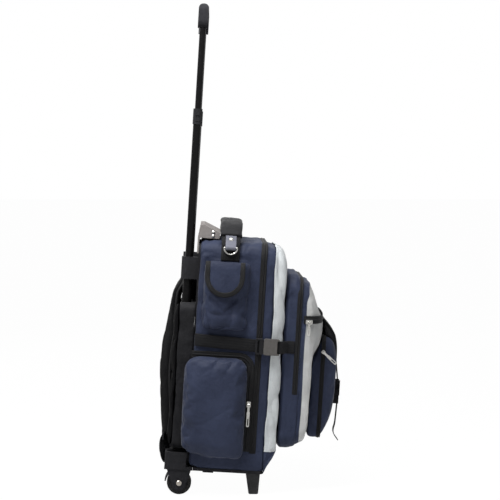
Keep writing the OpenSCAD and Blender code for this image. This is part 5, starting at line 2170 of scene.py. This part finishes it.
@dataclass
class CarryHandle:
    """Carry handle: webbing over the top, padded sleeve, and the vinyl tabs that hold the D-rings.

    Attributes:
        sleeve_half: half of the sleeve's thickness.
        tab: width of a vinyl tab.
        wrap: radius of its turn round the D-ring's bar.
    """

    width: float = 38.0
    thick: float = 3.0
    sleeve_half: float = 6.0
    tab: float = 22.0
    tab_thick: float = 1.8
    wrap: float = 4.0
    sleeve_folds: Wrinkles = Wrinkles(0.6, (26, 24, 24), 101.0, 1.2, (30, 24, 30), 103.0)

    def build(self) -> None:
        """Makes webbing, sleeve and tabs."""
        box = BAG.box("carry_handle")
        h, _, z = BAG.box("main_compartment").high
        left = [(-h - 2, box.low[2]), (-h - 2, z - 22), (-h + 1, z - 4), (-h + 9, z + 10), (-h + 22, z + 21),
                (-h + 42, z + 29), (-h + 72, z + 33.5)]
        line = left + [(0, z + 36)] + [(-a, b) for a, b in left[::-1]]
        path = arch_path(line, box.middle[1], 150)
        piece("carry_webbing", ribbon(path, BACK, self.width, self.thick), STRAP, replaces=["carry_handle"])
        self.sleeve(path)
        for side in Side:
            self.vinyl_tab(side, path)

    def sleeve(self, path: Array) -> None:
        """Padded sleeve sewn round the middle of the handle.

        Args:
            path: middle line of the handle.
        """
        wrap = BAG.box("carry_wrap")
        mid = even(path[np.abs(path[:, 0]) < wrap.high[0] + 55], 60)
        wide, high = pad_section(wrap.size[1] / 2, self.sleeve_half, 0.45, 0.7)
        rings = [p + np.outer(wide, BACK) + np.outer(high, up) for p, up in zip(mid, square_to(mid, BACK))]
        obj = piece("carry_sleeve", skin(np.array(rings), cap_first=3, cap_last=3), LINING, replaces=["carry_wrap"],
                    move=self.sleeve_folds)

    def vinyl_tab(self, side: Side, handle: Array) -> None:
        """Vinyl tab that wraps the D-ring's bar and lies on the webbing.

        Args:
            side: the tab's side.
            handle: middle line of the handle.
        """
        ring = BAG.box("d_ring_left")
        x, z = ring.middle[0], ring.high[2] - 1.6
        lie = handle[(handle[:, 0] < 0) & (handle[:, 2] > z + 12) & (handle[:, 2] < z + 38)]
        outer = (lie + square_to(lie, BACK) * 2.7)[::-1]
        line = [(p[0], p[2]) for p in even(outer, 10)] + [(x + 2.4, z + 7.6)]
        line += [(x + self.wrap * math.cos(a), z + self.wrap * math.sin(a))
                 for a in np.linspace(math.radians(100), math.radians(400), 16)]
        mesh = ribbon(arch_path(line, ring.middle[1], 70), BACK, self.tab, self.tab_thick)
        side_piece("ring_tab_{}", mesh, side, VINYL, "handle_tabs")


@dataclass
class Hardware:
    """The CAD nodes that keep their own shapes, under the finishes that they get here."""

    finishes: tuple[tuple[Finish, str], ...] = (
        (PLASTIC, "chassis_plate wheel_housing_left wheel_housing_right tube_keepers middle_collars trolley_grip "
                  "wheel_hub_left wheel_hub_right front_buckle_socket front_buckle_plug side_buckle_plug_left "
                  "side_buckle_plug_right"),
        (FOOT, "front_feet"),
        (STEEL, "axle_pins"),
        (TUBE_PAINT, "outer_tubes middle_tubes inner_tubes"),
        (BRACKET, "top_bracket"),
        (LINING, "frame_board"),
        (BUTTON, "grip_button"),
        (RUBBER, "wheel_tyre_left wheel_tyre_right"),
        (BUCKLE, "side_buckle_sockets"),
        (NICKEL, "rivets d_ring_left d_ring_right zip_sliders side_slider_left side_slider_right side_pull_left "
                 "side_pull_right front_pull pocket_pull main_pull second_pull"),
    )

    def dress(self) -> None:
        """Gives every kept node its finish."""
        for finish, names in self.finishes:
            for name in names.split():
                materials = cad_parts[name].data.materials
                materials.clear()
                materials.append(finish.material())
                LOG.info("%s: %s", name, finish.name)


# --- studio


@dataclass(frozen=True)
class Lamp:
    """A soft square lamp, with its place and side in metres."""

    name: str
    place: Row
    size: float
    watts: float


@dataclass
class Studio:
    """Pale floor, soft lamps, white surroundings and the camera of the photograph.

    Attributes:
        eye: camera's place, in metres.
        aim: point that it looks at.
        lens: focal length, in millimetres.
        floor_half: half of the floor's side, in metres.
        lit: point that the lamps face.
    """

    eye: Row = (-4.0, 0.0783, 0.6846)
    aim: Row = (0.0, -0.0008, 0.4966)
    lens: float = 136.1
    sensor: float = 36.0
    floor_half: float = 30.0
    lit: Row = (0, 0, 0.45)
    lamps: tuple[Lamp, ...] = (
        Lamp("key", (-1.05, 0.85, 1.8), 0.45, 38),
        Lamp("fill", (-2.4, -1.6, 0.9), 2.2, 8),
        Lamp("top", (-0.5, 0.1, 1.7), 0.6, 32),
        Lamp("rear", (2.4, 1.2, 2.0), 2.0, 34),
    )

    def build(self) -> None:
        """Makes floor, lamps, world and camera."""
        self.floor()
        for lamp in self.lamps:
            data = bpy.data.lights.new(lamp.name, "AREA")
            assign(data, size=lamp.size, energy=lamp.watts)
            self.stand(data, lamp.place, self.lit)
        self.world()
        data = bpy.data.cameras.new("camera")
        assign(data, lens=self.lens, sensor_width=self.sensor)
        bpy.context.scene.camera = self.stand(data, self.eye, self.aim)
        bpy.context.scene.view_settings.view_transform = "Standard"

    @staticmethod
    def stand(data: bpy.types.ID, place: Row, aim: Row) -> Object:
        """Stands a lamp or camera in the scene and turns it to a point.

        Args:
            data: the lamp or camera.
            place: where it stands.
            aim: what it faces.

        Returns:
            The object.
        """
        obj = new_object(data.name, data)
        facing_aim = (Vector(aim) - Vector(place)).to_track_quat("-Z", "Y")
        assign(obj, location=place, rotation_mode="QUATERNION", rotation_quaternion=facing_aim)
        return obj

    @staticmethod
    def white_to_camera(tree: Tree, plain: Node, output: str, kind: str, share: float) -> None:
        """Shows white to camera, glossy and transmission rays.

        Args:
            tree: nodes of a material or world.
            plain: shader under normal light.
            output: name of the output node.
            kind: type name of the white shader.
            share: how much of the white shows.
        """
        n = Nodes(tree)
        path = n.add("ShaderNodeLightPath").outputs
        rays = n.math("MAXIMUM", path["Is Camera Ray"], path["Is Glossy Ray"])
        rays = n.math("MAXIMUM", rays, path["Is Transmission Ray"])
        white = n.add(kind, {"Color": (1, 1, 1, 1), "Strength": 1.0}).outputs[0]
        mixed = {0: n.math("MULTIPLY", rays, share), 1: plain.outputs[0], 2: white}
        n.feed(tree.nodes[output], {"Surface": n.add("ShaderNodeMixShader", mixed).outputs[0]})

    def floor(self) -> None:
        """Large pale floor that keeps a faint shadow."""
        s = self.floor_half
        data = bpy.data.meshes.new("floor")
        data.from_pydata([(-s, -s, 0), (s, -s, 0), (s, s, 0), (-s, s, 0)], [], [(0, 1, 2, 3)])
        material = bpy.data.materials.new("floor_paper")
        material.use_nodes = True
        tree = material.node_tree
        shader = Nodes(tree).feed(tree.nodes["Principled BSDF"], {
            "Base Color": (0.86, 0.86, 0.86, 1), "Roughness": 0.9, "Specular IOR Level": 0.1})
        self.white_to_camera(tree, shader, "Material Output", "ShaderNodeEmission", 0.98)
        data.materials.append(material)
        new_object("floor", data)

    def world(self) -> None:
        """Pale surroundings that look white to the camera."""
        world = bpy.data.worlds.new("surroundings")
        world.use_nodes = True
        bpy.context.scene.world = world
        tree = world.node_tree
        soft = Nodes(tree).feed(tree.nodes["Background"], {"Color": (0.95, 0.97, 1.0, 1), "Strength": 0.28})
        self.white_to_camera(tree, soft, "World Output", "ShaderNodeBackground", 1.0)


def main() -> None:
    """Builds the bag's pieces in order, then the studio."""
    logging.basicConfig(level=logging.INFO, format="%(message)s")
    Hardware().dress()
    for part in (MainCompartment(), SecondCompartment(), FrontZip(), FrontPocket(), SidePockets(), PhonePockets(),
                 SideStraps(), BackPanel(), ShoulderStraps(), CarryHandle(), Studio()):
        part.build()


if __name__ == "__main__":
    main()
